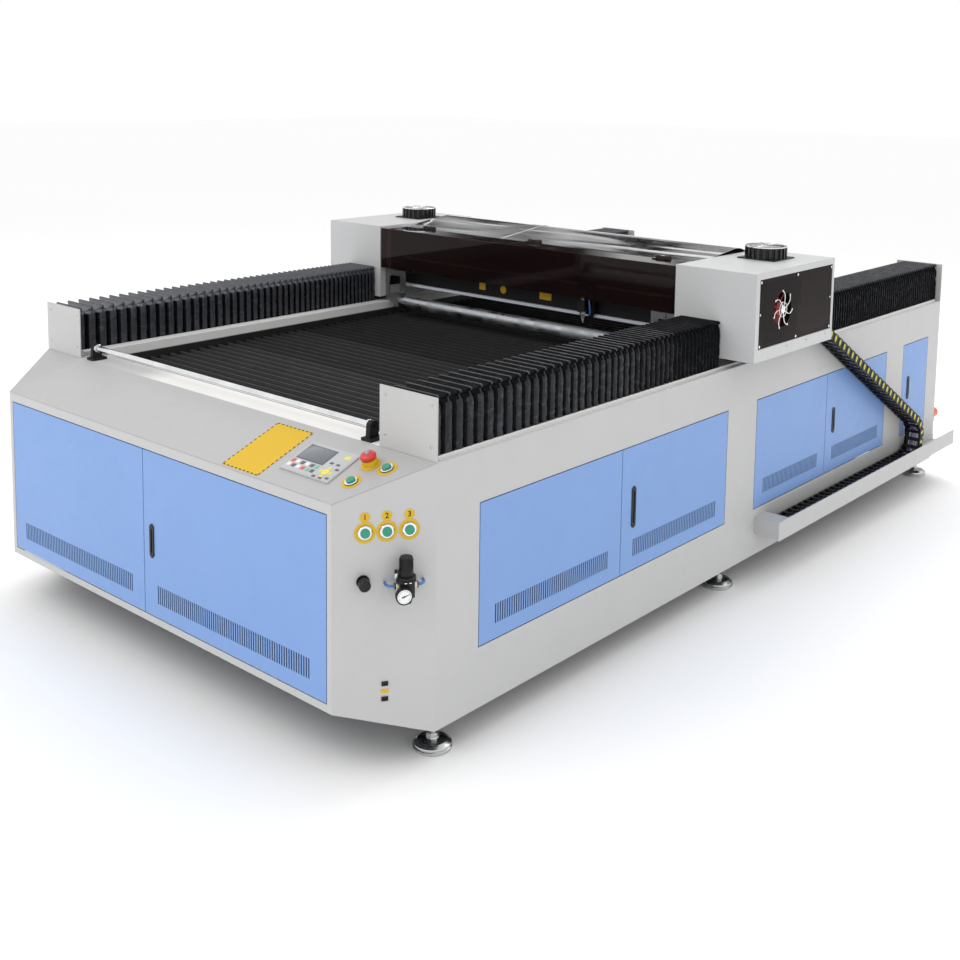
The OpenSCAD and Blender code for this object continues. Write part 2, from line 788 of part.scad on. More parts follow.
module chain_tray() {
    wall_x = half_w + tray_w;
    step_y = body_l - 285;
    color("gainsboro")
        placed()
            difference() {
                union() {
                    translate([half_w + seat, tray_y0, tray_z])
                        cube([tray_w - seat, body_l - tray_y0, sheet_t]);
                    translate([half_w + seat, tray_y0, tray_z]) cube([sheet_t, body_l - tray_y0, 26]);
                    translate([wall_x - sheet_t, tray_y0, tray_z]) cube([sheet_t, body_l - tray_y0, tray_h]);
                    // Closed cover over the fixed end of the chain.
                    translate([half_w + seat, tray_y0, tray_z]) cube([tray_w - seat, sheet_t, tray_h]);
                    translate([half_w + seat, tray_y0, tray_z + tray_h - sheet_t])
                        cube([tray_w - seat, 78, sheet_t]);
                    translate([half_w + seat, tray_y0, tray_z]) cube([sheet_t, 78, tray_h]);
                    // Deeper lip under the part of the tray that is bolted to the frame.
                    translate([wall_x - sheet_t, tray_y0, tray_z - 8]) cube([sheet_t, step_y - tray_y0, 9]);
                }
            }
}

// One link: local X along the chain, local Y across it, local Z out of the bend. The two side plates
// step from an outer half to an inner half, so that each overlaps its neighbour beside a pivot.
module chain_link() {
    p = link_pitch;
    r = link_h / 2;
    t = 3;
    plate_end = p / 2 - 9 * cos(link_turn) - (r - 8) * sin(link_turn) - 1.2;
    for (s = [-1, 1])
        translate([0, s * (chain_w / 2 - t), 0])
            mirror([0, s > 0 ? 0 : 1, 0]) {
                rotate([90, 0, 0]) translate([0, 0, -t])
                    linear_extrude(t)
                        polygon([[-p / 2 - 9, -r + 8], [-p / 2, -r], [plate_end, -r], [plate_end, r],
                                 [-p / 2, r], [-p / 2 - 9, r - 8]]);
                rotate([90, 0, 0]) translate([0, 0, 0.4])
                    linear_extrude(t)
                        polygon([[p / 2 - 24, -r], [p / 2 + 1, -r], [p / 2 + 9, -r + 8], [p / 2 + 9, r - 8],
                                 [p / 2 + 1, r], [p / 2 - 24, r]]);
                translate([p / 2 - 24, -0.5, -r]) cube([plate_end - p / 2 + 24, 1, link_h]);
            }
    // Crossbars above and below the cables.
    for (z = [-r + 1, r - 5])
        translate([-8, -chain_w / 2 + 4, z]) cube([14, chain_w - 8, 4]);
    for (s = [-1, 1])
        translate([-8, s > 0 ? chain_w / 2 - 4.5 : -chain_w / 2 + 1.5, -r + 1]) cube([14, 3, link_h - 2]);
}

// Places links along the chain: on the floor of the tray, round the bend, up to the gantry.
module lower_link_at(i) {
    translate([chain_x, chain_fixed_y + (i + 0.5) * link_pitch, chain_z]) rotate([0, 0, 90]) children();
}

module bend_link_at(i) {
    a = -90 + (i + 0.5) * link_turn;
    reach = bend_r * cos(link_turn / 2);
    translate([chain_x, bend_y + reach * cos(a), chain_z + bend_r + reach * sin(a)])
        rotate([a + 90, 0, 0]) rotate([0, 0, 90]) children();
}

module upper_link_at(i) {
    s = (i + 0.5) * link_pitch;
    translate([chain_x, bend_y + bend_r * cos(60) - s * cos(30),
               chain_z + bend_r + bend_r * sin(60) + s * sin(30)])
        rotate([150, 0, 0]) rotate([0, 0, 90]) children();
}

module chain_lower_run() {
    color("black") placed() for (i = [0:lower_links - 1]) lower_link_at(i) chain_link();
}

module chain_bend() {
    color("black") placed() for (i = [0:bend_links - 1]) bend_link_at(i) chain_link();
}

module chain_upper_run() {
    color("black") placed() for (i = [0:upper_links - 1]) upper_link_at(i) chain_link();
}

// ---- controls ----------------------------------------------------------------------------

// Chrome ring with a barrel through the panel.
module bezel() {
    rotate_extrude()
        polygon([[8, -30], [hole_r - 0.2, -30], [hole_r - 0.2, 1], [bezel_r, 1], [bezel_r, 4],
                 [bezel_r - 2, 6], [button_r + 0.3, 6], [button_r + 0.3, 1.5], [8, 1.5]]);
}

module push_button() {
    rotate_extrude()
        polygon([[0, -22], [7.7, -22], [7.7, 5.8], [button_r, 5.8], [button_r, 9.5],
                 [button_r - 1.5, 10.8], [0, 11.2]]);
}

module legend() {
    difference() {
        translate([0, 0, 0.1]) cylinder(r = legend_r, h = 0.8);
        translate([0, 0, -1]) cylinder(r = hole_r, h = 3);
    }
}

// Yellow collar of the emergency stop with its barrel.
module stop_collar() {
    rotate_extrude()
        polygon([[9.3, -34], [hole_r - 0.2, -34], [hole_r - 0.2, 0.1], [28, 0.1], [28, 2], [stop_r, 3],
                 [stop_r, 19], [stop_r - 2, 20], [9.3, 20]]);
}

module button_bezels() {
    color("silver")
        placed() {
            for (p = deck_buttons) on_deck(p[0], p[1]) bezel();
            for (s = start_buttons) on_chamfer(s, start_z) bezel();
        }
}

module button_legends() {
    color("gold")
        placed() {
            for (p = deck_buttons) on_deck(p[0], p[1]) legend();
            for (s = start_buttons) on_chamfer(s, start_z) legend();
            on_deck(stop_at[0], stop_at[1]) stop_collar();
        }
}

module deck_button_left() {
    color("green") placed() on_deck(deck_buttons[0][0], deck_buttons[0][1]) push_button();
}
module deck_button_right() {
    color("green") placed() on_deck(deck_buttons[1][0], deck_buttons[1][1]) push_button();
}
module start_button_1() { color("green") placed() on_chamfer(start_buttons[0], start_z) push_button(); }
module start_button_2() { color("green") placed() on_chamfer(start_buttons[1], start_z) push_button(); }
module start_button_3() { color("green") placed() on_chamfer(start_buttons[2], start_z) push_button(); }

module emergency_stop() {
    color("red")
        placed()
            on_deck(stop_at[0], stop_at[1])
                rotate_extrude()
                    polygon([[0, -24], [9, -24], [9, 24.2], [stop_r - 1, 24.2], [stop_r + 1, 26],
                             [stop_r + 1, 31], [stop_r - 2, 35], [stop_r - 7, 37.5], [9, 38.5],
                             [9, 37], [0, 37]]);
}

gland_s = 83;
gland_z = 538;
port_s = 143;
port_zs = [246, 203];

module panel_fittings() {
    color("black")
        placed() {
            // Capped service connector.
            on_chamfer(gland_s, gland_z)
                rotate_extrude()
                    polygon([[0, seat], [18, seat], [18, 5], [13, 5], [13, 12], [16, 14], [16, 34],
                             [13, 38], [0, 38]]);
            // Data ports.
            for (z = port_zs)
                on_chamfer(port_s, z)
                    difference() {
                        translate([-9, -6, seat]) cube([18, 12, 3]);
                        translate([-6, -3, 1.5]) cube([12, 6, 3]);
                    }
        }
}

reg_s = 193;
reg_z = 566;
reg_out = 34;
reg_body = [40, 56, 36];
reg_top = -8;
port_y = -35;
knob_y = reg_top + 1;
gauge_at = [-12, -50];

module air_regulator() {
    color("dimgray")
        placed()
            on_chamfer(reg_s, reg_z) {
                // Wall bracket and body with its two side ports.
                difference() {
                    union() {
                        translate([-16, reg_top - 36, seat]) cube([32, 40, 4]);
                        translate([-16, reg_top - 8, 4]) cube([32, 4, reg_out - 4]);
                        translate([-reg_body[0] / 2, reg_top - reg_body[1], reg_out - reg_body[2] / 2])
                            cube(reg_body);
                        translate([-32, port_y, reg_out]) rotate([0, 90, 0]) cylinder(r = 9, h = 64);
                    }
                    translate([0, reg_top - 14, reg_out]) rotate([-90, 0, 0]) cylinder(r = 6.1, h = 40);
                }
                // Drain bowl below.
                translate([0, reg_top - reg_body[1] + eps, reg_out]) rotate([90, 0, 0])
                    cylinder(r = 15, h = 18);
            }
}

module regulator_knob() {
    color("black")
        placed()
            on_chamfer(reg_s, reg_z)
                translate([0, knob_y, reg_out]) rotate([-90, 0, 0])
                    union() {
                        translate([0, 0, -14]) cylinder(r = 6, h = 16);
                        cylinder(r1 = 19, r2 = 17, h = 51);
                    }
}

module regulator_gauge() {
    color("white")
        placed()
            on_chamfer(reg_s, reg_z)
                translate([gauge_at[0], gauge_at[1], reg_out + reg_body[2] / 2 + seat])
                    rotate_extrude()
                        polygon([[0, 0], [6, 0], [6, 7], [21, 7], [22, 9], [22, 20], [20, 22], [19, 22],
                                 [19, 20], [0, 20]]);
}

// Short hoses from the regulator's ports back into the panel.
module air_hoses() {
    hose_r = 4;
    turn_r = 20;
    color("royalblue")
        placed()
            on_chamfer(reg_s, reg_z)
                for (s = [-1, 1])
                    translate([s * (32 + seat), port_y, reg_out]) mirror([s > 0 ? 0 : 1, 0, 0]) {
                        translate([0, 0, -turn_r]) rotate([-90, 0, 0])
                            rotate_extrude(angle = -90) translate([turn_r, 0]) circle(r = hose_r, $fn = 24);
                        translate([turn_r, 0, seat - reg_out + 2])
                            cylinder(r = hose_r, h = reg_out - turn_r - seat - 2 + eps);
                    }
}

module power_inlet() {
    color("red")
        placed()
            translate([half_w - 30, body_l + seat, inlet_z]) rotate([-90, 0, 0])
                difference() {
                    union() {
                        translate([-30, -30, 0]) cube([60, 60, 5]);
                        cylinder(r = 25, h = inlet_l - seat);
                    }
                    translate([0, 0, 14]) cylinder(r = 20, h = 60);
                }
}

// ---- gantry ------------------------------------------------------------------------------

// Folded sheet box over one end of the beam, open at the bottom and towards the beam.
module end_box() {
    difference() {
        union() {
            difference() {
                translate([box_inner, gantry_y, box_z0]) cube([box_outer - box_inner, box_l, box_h]);
                translate([box_inner + box_t, gantry_y + box_t, box_z0 - 1])
                    cube([box_outer - box_inner - 2 * box_t, box_l - 2 * box_t, box_h - box_t + 1]);
            }
            // Rebate behind the window.
            translate([pane_x - seat - box_t, window_y[0] - 8, window_z[0] - 8])
                cube([box_outer - pane_x + seat, window_y[1] - window_y[0] + 16,
                      window_z[1] - window_z[0] + 16]);
            // Folded foot along the lower edge.
            translate([box_inner, gantry_y, box_z0]) cube([box_outer - box_inner, 16, box_t]);
            translate([box_inner, gantry_y1 - 16, box_z0]) cube([box_outer - box_inner, 16, box_t]);
        }
        translate([box_inner - 1, hood_y + 40, beam_z0 - 6])
            cube([box_t + 2, box_l - 80, box_z1 - beam_z0 - 20]);
        translate([pane_x - seat, window_y[0] - 1, window_z[0] - 1])
            cube([box_outer - pane_x + 2, window_y[1] - window_y[0] + 2, window_z[1] - window_z[0] + 2]);
        translate([pane_x - 12, window_y[0] + 14, window_z[0] + 14])
            cube([14, window_y[1] - window_y[0] - 28, window_z[1] - window_z[0] - 28]);
        translate([fan_x, fan_y, box_z1 - box_t - 1]) cylinder(r = fan_r - 10, h = box_t + 2);
        for (y = [360, 208, 52])
            translate([box_outer - box_t - 1, gantry_y1 - y, box_z0 + 30]) rotate([0, 90, 0])
                cylinder(r = 3.5, h = box_t + 2);
    }
}

module end_boxes() { color("white") placed() both_sides() end_box(); }

// Smoked pane with a round opening behind the fan guard on the right.
module window_pane(fan) {
    difference() {
        translate([pane_x, window_y[0], window_z[0]])
            cube([acrylic_t, window_y[1] - window_y[0], window_z[1] - window_z[0]]);
        if (fan)
            translate([pane_x - 1, side_fan_y, side_fan_z]) rotate([0, 90, 0])
                cylinder(r = side_fan_r - 8, h = acrylic_t + 2);
    }
    for (y = [window_y[0] + 9, (window_y[0] + window_y[1]) / 2, window_y[1] - 9],
         z = [window_z[0] + 9, window_z[1] - 9])
        translate([pane_x + acrylic_t - eps, y, z]) rotate([0, 90, 0]) cylinder(r = 5, h = 2.2);
}

module side_windows() {
    color("maroon")
        placed() {
            window_pane(true);
            mirror([1, 0, 0]) window_pane(false);
        }
}

runner_l = 110;
runner_z = table_z + rail_h + 0.6;

module gantry_beam() {
    color("black")
        placed() {
            difference() {
                translate([-box_inner - beam_end, beam_y0, beam_z0])
                    cube([2 * (box_inner + beam_end), beam_y1 - beam_y0, beam_z1 - beam_z0]);
                translate([-box_inner - beam_end - 1, beam_y0 + 4, beam_z0 + 4])
                    cube([2 * (box_inner + beam_end) + 2, beam_y1 - beam_y0 - 8, beam_z1 - beam_z0 - 8]);
            }
            // Shelf and cradles under the laser tube.
            translate([-box_inner - beam_end, beam_y1 - eps, shelf_z])
                cube([2 * (box_inner + beam_end), tube_y + 70 - beam_y1, 4]);
            for (x = [-520, 0, 520])
                translate([x - 12, tube_y - 50, shelf_z + 4 - eps])
                    difference() {
                        cube([24, 100, tube_z - shelf_z - 14]);
                        translate([-1, 50, tube_z - shelf_z - 4]) rotate([0, 90, 0])
                            cylinder(r = laser_tube_r + seat, h = 26);
                    }
            // Carriages that ride on the side rails.
            both_sides() {
                translate([rail_x - 50, beam_y0 - 20, runner_z + 16])
                    cube([100, 150, beam_z0 - runner_z - 16 + eps]);
                for (y = [beam_y0 - 20, beam_y0 + 130 - runner_l + 20 + eps])
                    translate([rail_x - 34, y, runner_z]) cube([68, 44, 17]);
            }
            // Fixed hinge leaves of the hood.
            for (x = hinge_xs) hood_hinge(x);
        }
}

module hood_hinge(x) {
    difference() {
        union() {
            translate([x - 30, hinge_y + 8.6, beam_z1 - eps]) cube([60, 5, hinge_z + 2 - beam_z1]);
            for (k = [-30, 10])
                translate([x + k, hinge_y, hinge_z]) rotate([0, 90, 0]) cylinder(r = 8, h = knuckle_l);
            for (k = [-30, 10])
                translate([x + k, hinge_y, hinge_z - 8]) cube([knuckle_l, 10, 16]);
        }
        translate([x - 31, hinge_y, hinge_z]) rotate([0, 90, 0]) cylinder(r = hinge_r + 0.05, h = 62);
    }
}

module smoked_hood() {
    color("maroon")
        placed() {
            difference() {
                across(-hood_half, hood_half)
                    polygon([[hood_y, hood_z1 - hood_h], [hood_y + acrylic_t, hood_z1 - hood_h],
                             [hood_y + acrylic_t, hood_z1 - acrylic_t], [hood_y + hood_d, hood_z1 - acrylic_t],
                             [hood_y + hood_d, hood_z1], [hood_y, hood_z1]]);
                for (x = hinge_xs)
                    translate([x - 31, hinge_y - 9, hinge_z - 20]) cube([62, 20, 40]);
            }
            for (x = hinge_xs)
                translate([x, 0, 0]) {
                    // Moving leaf screwed on the hood, with its knuckle and pin.
                    translate([-30, hinge_y - 32, hood_z1 + seat]) cube([60, 22.5, 4]);
                    translate([-9.7, hinge_y - 10, hood_z1 + seat]) cube([19.4, 8, 4]);
                    translate([-9.7, hinge_y, hinge_z]) rotate([0, 90, 0]) cylinder(r = 8, h = 19.4);
                    translate([-30, hinge_y, hinge_z]) rotate([0, 90, 0]) cylinder(r = hinge_r, h = 60);
                }
        }
}

module x_rail() {
    color("silver")
        placed() {
            translate([-suction_half - 20, beam_y0 - rail_strip_d, beam_z0])
                cube([2 * suction_half + 40, rail_strip_d, rail_strip_h]);
            translate([-suction_half - 20, beam_y0 - rail_strip_d, beam_z0 + 120])
                cube([2 * suction_half + 40, rail_strip_d, rail_strip_h]);
        }
}

// Frame plate beside each end box with the hanger that carries the suction tube.
module end_frame() {
    z0 = table_z + rim_h + 4;
    frame_l = box_inner - suction_half + 36 - seat;
    difference() {
        union() {
            translate([suction_half - 36, gantry_y + 34, z0]) cube([frame_l, 4, 140]);
            translate([suction_half - 36, gantry_y + 38 - eps, z0 + 126])
                cube([frame_l, beam_y0 - gantry_y - 38, 14]);
            translate([suction_half - 34, suction_y - suction_r - 5, suction_z - 20])
                cube([26, suction_r + 20, 60]);
        }
        translate([suction_half - 2, gantry_y + 33, z0 + 30]) cube([frame_l - 58, 6, 84]);
        translate([suction_half - 40, suction_y, suction_z]) rotate([0, 90, 0])
            cylinder(r = suction_r + seat, h = 60);
    }
}

module gantry_brackets() {
    color("white")
        placed() {
            both_sides() end_frame();
            // Bracket for the moving end of the cable chain.
            translate([chain_x - chain_w / 2 - 1, gantry_y1 + seat, box_z0 + 2])
                cube([chain_w + 2, 4, 50]);
            translate([chain_x - chain_w / 2 + 8, gantry_y1 + 3, box_z0 + 2]) cube([chain_w - 16, 22, 4]);
        }
}

// Outline of the polished cover as [y, z] points, drawn in by d.
function cover_path(d) = concat(
    [[cover_y0 + d, beam_z1 + seat], [cover_y0 + d, hood_z1 - 6 - d]],
    [for (a = [100:-10:0])
        [cover_y1 - 150 + (150 - d) * cos(a), box_z1 + 20 - 130 + (130 - d) * sin(a)]],
    [[cover_y1 - d, shelf_z - 40]]);

function reversed(v) = [for (i = [len(v) - 1:-1:0]) v[i]];

module tube_cover() {
    color("silver")
        placed() {
            across(-hood_half, hood_half)
                polygon(concat(cover_path(0), reversed(cover_path(cover_t))));
            // Strap over the middle.
            across(-250, -200)
                polygon(concat(cover_path(-cover_t), reversed(cover_path(-eps))));
        }
}

module laser_tube() {
    tube_half = box_inner - 40;
    color("mistyrose")
        placed()
            translate([-tube_half, tube_y, tube_z]) rotate([0, 90, 0])
                rotate_extrude()
                    polygon([[0, 0], [24, 0], [24, 60], [laser_tube_r, 66], [laser_tube_r, 2 * tube_half - 66],
                             [24, 2 * tube_half - 60], [24, 2 * tube_half], [0, 2 * tube_half]]);
}

module suction_tube() {
    color("silver")
        placed()
            translate([-suction_half, suction_y, suction_z]) rotate([0, 90, 0])
                difference() {
                    cylinder(r = suction_r, h = 2 * suction_half);
                    translate([0, 0, 6]) cylinder(r = suction_r - 3, h = 2 * suction_half - 12);
                    for (x = [60:60:2 * suction_half - 60])
                        translate([0, 0, x]) rotate([0, 90, 0]) cylinder(r = 8, h = 40);
                }
}

module fan_frame(r, h) {
    difference() {
        union() {
            cylinder(r = r, h = h);
            translate([-r - 4, -r - 4, 0]) cube([2 * r + 8, 2 * r + 8, 4]);
        }
        translate([0, 0, 4]) cylinder(r = r - 6, h = h);
        translate([0, 0, -1]) cylinder(r = 5.05, h = 10);
        for (a = [0:60:300]) rotate([0, 0, a + 30]) translate([r - 32, 0, -1]) cylinder(r = 15, h = 8);
    }
}

module fan_rotor(r) {
    blade_n = 8;
    difference() {
        union() {
            cylinder(r = 24, h = 24);
            for (i = [0:blade_n - 1])
                rotate([0, 0, i * 360 / blade_n]) translate([20, 0, 2]) rotate([35, 0, 0])
                    cube([r - 31, 3, 24]);
        }
        translate([0, 0, -40]) cube([200, 200, 80], center = true);
    }
    translate([0, 0, -8]) cylinder(r = 5, h = 10);
}

module at_top_fan() { translate([fan_x, fan_y, box_z1 + seat]) children(); }

module at_side_fan() { translate([pane_x - seat, side_fan_y, side_fan_z]) rotate([0, -90, 0]) children(); }

module fan_frames() {
    color("black")
        placed() {
            both_sides() at_top_fan() fan_frame(fan_r, fan_h);
            at_side_fan()
                difference() {
                    translate([-side_fan_r - 4, -side_fan_r - 4, 0])
                        cube([2 * side_fan_r + 8, 2 * side_fan_r + 8, 38]);
                    translate([0, 0, -1]) cylinder(r = side_fan_r - 4, h = 36);
                    translate([0, 0, 30]) cylinder(r = 5.05, h = 10);
                    for (a = [0:90:270]) rotate([0, 0, a + 45]) translate([40, 0, 30]) cylinder(r = 20, h = 10);
                }
        }
}

module fan_rotor_right() { color("dimgray") placed() at_top_fan() translate([0, 0, 6]) fan_rotor(fan_r); }
module fan_rotor_left() {
    color("dimgray") placed() mirror([1, 0, 0]) at_top_fan() translate([0, 0, 6]) fan_rotor(fan_r);
}
module fan_rotor_side() {
    color("indianred")
        placed() at_side_fan() translate([0, 0, 33]) mirror([0, 0, 1]) fan_rotor(side_fan_r);
}

module laser_carriage() {
    py = beam_y0 - rail_strip_d;
    color("black")
        placed()
            translate([carriage_x, 0, beam_z0]) {
                // Back plate with two slide blocks on the rails.
                translate([-42, py - 14, 14]) cube([84, 8, 128]);
                for (z = [-2, 118])
                    translate([-30, py - 6 - eps, z]) cube([60, 6 - 0.3 + eps, 16]);
                translate([-30, py - 14, -2]) cube([60, 8 + eps, 17]);
                // Tube clamp in front of the plate.
                difference() {
                    translate([-17, head_y - 17, 26]) cube([34, py - 14 - head_y + 17 + eps, 44]);
                    translate([0, head_y, 0]) cylinder(r = 12 + seat, h = 90);
                }
                // Mirror mount above the clamp.
                translate([-22, head_y - 15, 104]) cube([44, py - 14 - head_y + 15 + eps, 10]);
                translate([0, head_y, 130]) rotate([0, 0, 45]) cube([6, 30, 34], center = true);
            }
}

module laser_head() {
    color("silver")
        placed()
            translate([carriage_x, head_y, beam_z0]) {
                difference() {
                    rotate_extrude()
                        polygon([[0, -22], [3, -22], [11, 2], [11, 6], [14, 6], [14, 16], [12, 16],
                                 [12, 88], [0, 88]]);
                    translate([0, 0, -23]) cylinder(r = 1.5, h = 112);
                }
                // Air fitting on the nozzle.
                translate([10, 0, 11]) rotate([0, 90, 0]) cylinder(r = 4, h = 14);
            }
}

// ---- drawing -----------------------------------------------------------------------------

base_frame();
cabinet_shell();
control_deck();
bed_well();
bed_slats();
slat_combs();
front_roller();
roller_brackets();
y_rails();
bellows_end_plates();
bellows_front_left();
bellows_front_right();
bellows_rear_left();
bellows_rear_right();
chain_tray();
chain_lower_run();
chain_bend();
chain_upper_run();
levelling_feet();
keypad();
button_bezels();
button_legends();
deck_button_left();
deck_button_right();
start_button_1();
start_button_2();
start_button_3();
emergency_stop();
panel_fittings();
air_regulator();
regulator_gauge();
regulator_knob();
air_hoses();
power_inlet();
front_door_left();
front_door_right();
right_door_1();
right_door_2();
right_door_3();
chain_side_doors();
left_door_1();
left_door_2();
left_door_3();
left_door_4();
left_door_5();
gantry_beam();
x_rail();
end_boxes();
gantry_brackets();
side_windows();
fan_frames();
fan_rotor_left();
fan_rotor_right();
fan_rotor_side();
smoked_hood();
tube_cover();
laser_tube();
suction_tube();
laser_carriage();
laser_head();
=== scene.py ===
import bmesh
import bpy
import json
import math
from mathutils import Matrix, Vector, noise

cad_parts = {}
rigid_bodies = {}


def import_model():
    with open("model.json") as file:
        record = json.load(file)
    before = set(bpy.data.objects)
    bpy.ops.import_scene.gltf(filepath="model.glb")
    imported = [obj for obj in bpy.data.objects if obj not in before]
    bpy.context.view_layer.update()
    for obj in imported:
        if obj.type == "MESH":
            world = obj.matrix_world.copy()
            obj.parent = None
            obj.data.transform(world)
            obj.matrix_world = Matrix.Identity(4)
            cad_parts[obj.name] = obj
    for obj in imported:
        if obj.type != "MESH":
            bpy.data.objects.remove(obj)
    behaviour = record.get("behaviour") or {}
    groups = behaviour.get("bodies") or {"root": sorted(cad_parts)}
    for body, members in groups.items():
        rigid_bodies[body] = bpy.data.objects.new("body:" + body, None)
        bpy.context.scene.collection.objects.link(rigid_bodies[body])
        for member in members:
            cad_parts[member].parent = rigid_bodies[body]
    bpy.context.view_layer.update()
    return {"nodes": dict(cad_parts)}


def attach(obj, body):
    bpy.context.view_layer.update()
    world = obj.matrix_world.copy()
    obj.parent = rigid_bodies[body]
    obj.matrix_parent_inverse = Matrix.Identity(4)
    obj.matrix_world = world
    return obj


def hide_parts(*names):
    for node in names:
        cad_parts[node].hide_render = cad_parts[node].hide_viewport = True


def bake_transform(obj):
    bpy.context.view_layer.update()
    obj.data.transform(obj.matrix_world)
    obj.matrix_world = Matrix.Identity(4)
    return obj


bpy.ops.object.select_all(action="SELECT")
bpy.ops.object.delete()
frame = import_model()
nodes = frame["nodes"]
scene = bpy.context.scene
print("frame loaded")

# sizes are in millimetres: x from the middle, y from the cabinet's front face, z from the floor
machine = {"midY": 1879.5, "halfWidth": 1000, "deckFront": 757, "tableTop": 848, "deckDepth": 236, "cornerWidth": 155,
           "gantryFront": 1717, "gantryLength": 600, "tray": 172, "sheet": 2, "seat": 0.3}


def at(x, y, z):
    # the same point in metres in the frame
    return Vector((x / 1000, (y - machine["midY"]) / 1000, z / 1000))


def place(origin, xAxis, yAxis, zAxis, scale=0.001):
    turn = Matrix((xAxis, yAxis, zAxis)).transposed().to_4x4()
    return Matrix.Translation(at(*origin)) @ turn @ Matrix.Scale(scale, 4)


upright = place((0, 0, 0), (1, 0, 0), (0, 1, 0), (0, 0, 1))
deckTilt = math.atan((machine["tableTop"] - machine["deckFront"]) / machine["deckDepth"])
deckNormal = Vector((0, -math.sin(deckTilt), math.cos(deckTilt)))
panelTurn = math.atan2(machine["deckDepth"], machine["cornerWidth"])
panelNormal = Vector((math.sin(panelTurn), -math.cos(panelTurn), 0))


def onDeck(x, y):
    origin = (x, y, machine["deckFront"] + y * math.tan(deckTilt))
    return place(origin, (1, 0, 0), (0, math.cos(deckTilt), math.sin(deckTilt)), deckNormal)


def onPanel(along, z):
    # the panel across the cabinet's right front corner, along from its front edge
    right = (math.cos(panelTurn), math.sin(panelTurn), 0)
    corner = machine["halfWidth"] - machine["cornerWidth"]
    return place((corner + along * right[0], along * right[1], z), right, (0, 0, 1), panelNormal)


cameraView = {"place": (3218, -2085, 1868), "yaw": 40.66, "pitch": 6.74, "roll": 0.9,
              "lens": 46.4, "sensor": 36, "shiftX": -0.0258, "shiftY": -0.265, "near": 0.05, "far": 200}


def makeCamera(c):
    yaw, pitch, roll = (math.radians(c[k]) for k in ("yaw", "pitch", "roll"))
    look = Vector((-math.sin(yaw) * math.cos(pitch), math.cos(yaw) * math.cos(pitch), -math.sin(pitch)))
    right = Vector((math.cos(yaw), math.sin(yaw), 0))
    up = right.cross(look)
    rolledRight = right * math.cos(roll) + up * math.sin(roll)
    rolledUp = up * math.cos(roll) - right * math.sin(roll)
    data = bpy.data.cameras.new("studioCamera")
    camera = bpy.data.objects.new("studioCamera", data)
    scene.collection.objects.link(camera)
    turn = Matrix((rolledRight, rolledUp, -look)).transposed().to_4x4()
    camera.matrix_world = Matrix.Translation(at(*c["place"])) @ turn
    data.lens, data.sensor_width = c["lens"], c["sensor"]
    data.shift_x, data.shift_y = c["shiftX"], c["shiftY"]
    data.clip_start, data.clip_end = c["near"], c["far"]
    scene.camera = camera


makeCamera(cameraView)


def addNode(tree, kind, links=None, **values):
    node = tree.nodes.new(kind)
    for key, value in values.items():
        if hasattr(node, key):
            setattr(node, key, value)
        else:
            node.inputs[key.replace("_", " ")].default_value = value
    for key, source in (links or {}).items():
        tree.links.new(source, node.inputs[key])
    return node


def mixColor(tree, factor, a, b, mode="MIX"):
    node = tree.nodes.new("ShaderNodeMix")
    node.data_type, node.blend_type = "RGBA", mode
    for socket, value in ((node.inputs[0], factor), (node.inputs[6], a), (node.inputs[7], b)):
        if hasattr(value, "is_output"):
            tree.links.new(value, socket)
        else:
            socket.default_value = value
    return node.outputs[2]


def ramp(tree, source, low, high, outLow=0.0, outHigh=1.0):
    node = addNode(tree, "ShaderNodeMapRange", {"Value": source},
                   From_Min=low, From_Max=high, To_Min=outLow, To_Max=outHigh)
    return node.outputs["Result"]


def noiseTexture(tree, vector, scale, detail=3.0, rough=0.5, distortion=0.0):
    node = addNode(tree, "ShaderNodeTexNoise", {"Vector": vector},
                   Scale=scale, Detail=detail, Roughness=rough, Distortion=distortion)
    return node.outputs["Fac"]


def combine(tree, a, b, operation):
    return addNode(tree, "ShaderNodeMath", {0: a, 1: b}, operation=operation).outputs[0]


def bump(tree, height, strength, distance, normal=None):
    node = addNode(tree, "ShaderNodeBump", {"Height": height, "Strength": strength}, Distance=distance)
    if normal:
        tree.links.new(normal, node.inputs["Normal"])
    return node.outputs["Normal"]


studio = {"world": 1.0, "floorReach": 40, "bannerSize": (34, 3.0), "bannerPlace": (-5, 10, 4.05), "bannerTurn": 20,
          "lamps": (("keyLight", (-1.5, -5.5, 5.5), (0, -0.5, 0.6), (5, 3.5), 105),
                    ("fillLight", (6.5, -1.5, 3.2), (0, 0.3, 0.6), (4, 3), 12),
                    ("topLight", (-0.5, 3.6, 5.2), (0, 0.2, 0.8), (6, 3), 140))}


def areaLight(name, spot, target, size, power):
    data = bpy.data.lights.new(name, "AREA")
    data.shape, data.size, data.size_y = "RECTANGLE", size[0], size[1]
    data.energy = power
    lamp = bpy.data.objects.new(name, data)
    lamp.location = spot
    lamp.rotation_euler = (Vector(target) - Vector(spot)).to_track_quat("-Z", "Y").to_euler()
    scene.collection.objects.link(lamp)


def stageSheet(name, size, matrix):
    # flat sheet of the room, in metres, and the material it is made with
    bm = bmesh.new()
    bmesh.ops.create_grid(bm, x_segments=1, y_segments=1, size=size)
    bmesh.ops.transform(bm, matrix=matrix, verts=bm.verts)
    mesh = bpy.data.meshes.new(name)
    bm.to_mesh(mesh)
    bm.free()
    sheet = bpy.data.objects.new(name, mesh)
    scene.collection.objects.link(sheet)
    mat = bpy.data.materials.new(name)
    mat.use_nodes = True
    mesh.materials.append(mat)
    return sheet, mat.node_tree, mat.node_tree.nodes["Principled BSDF"].inputs


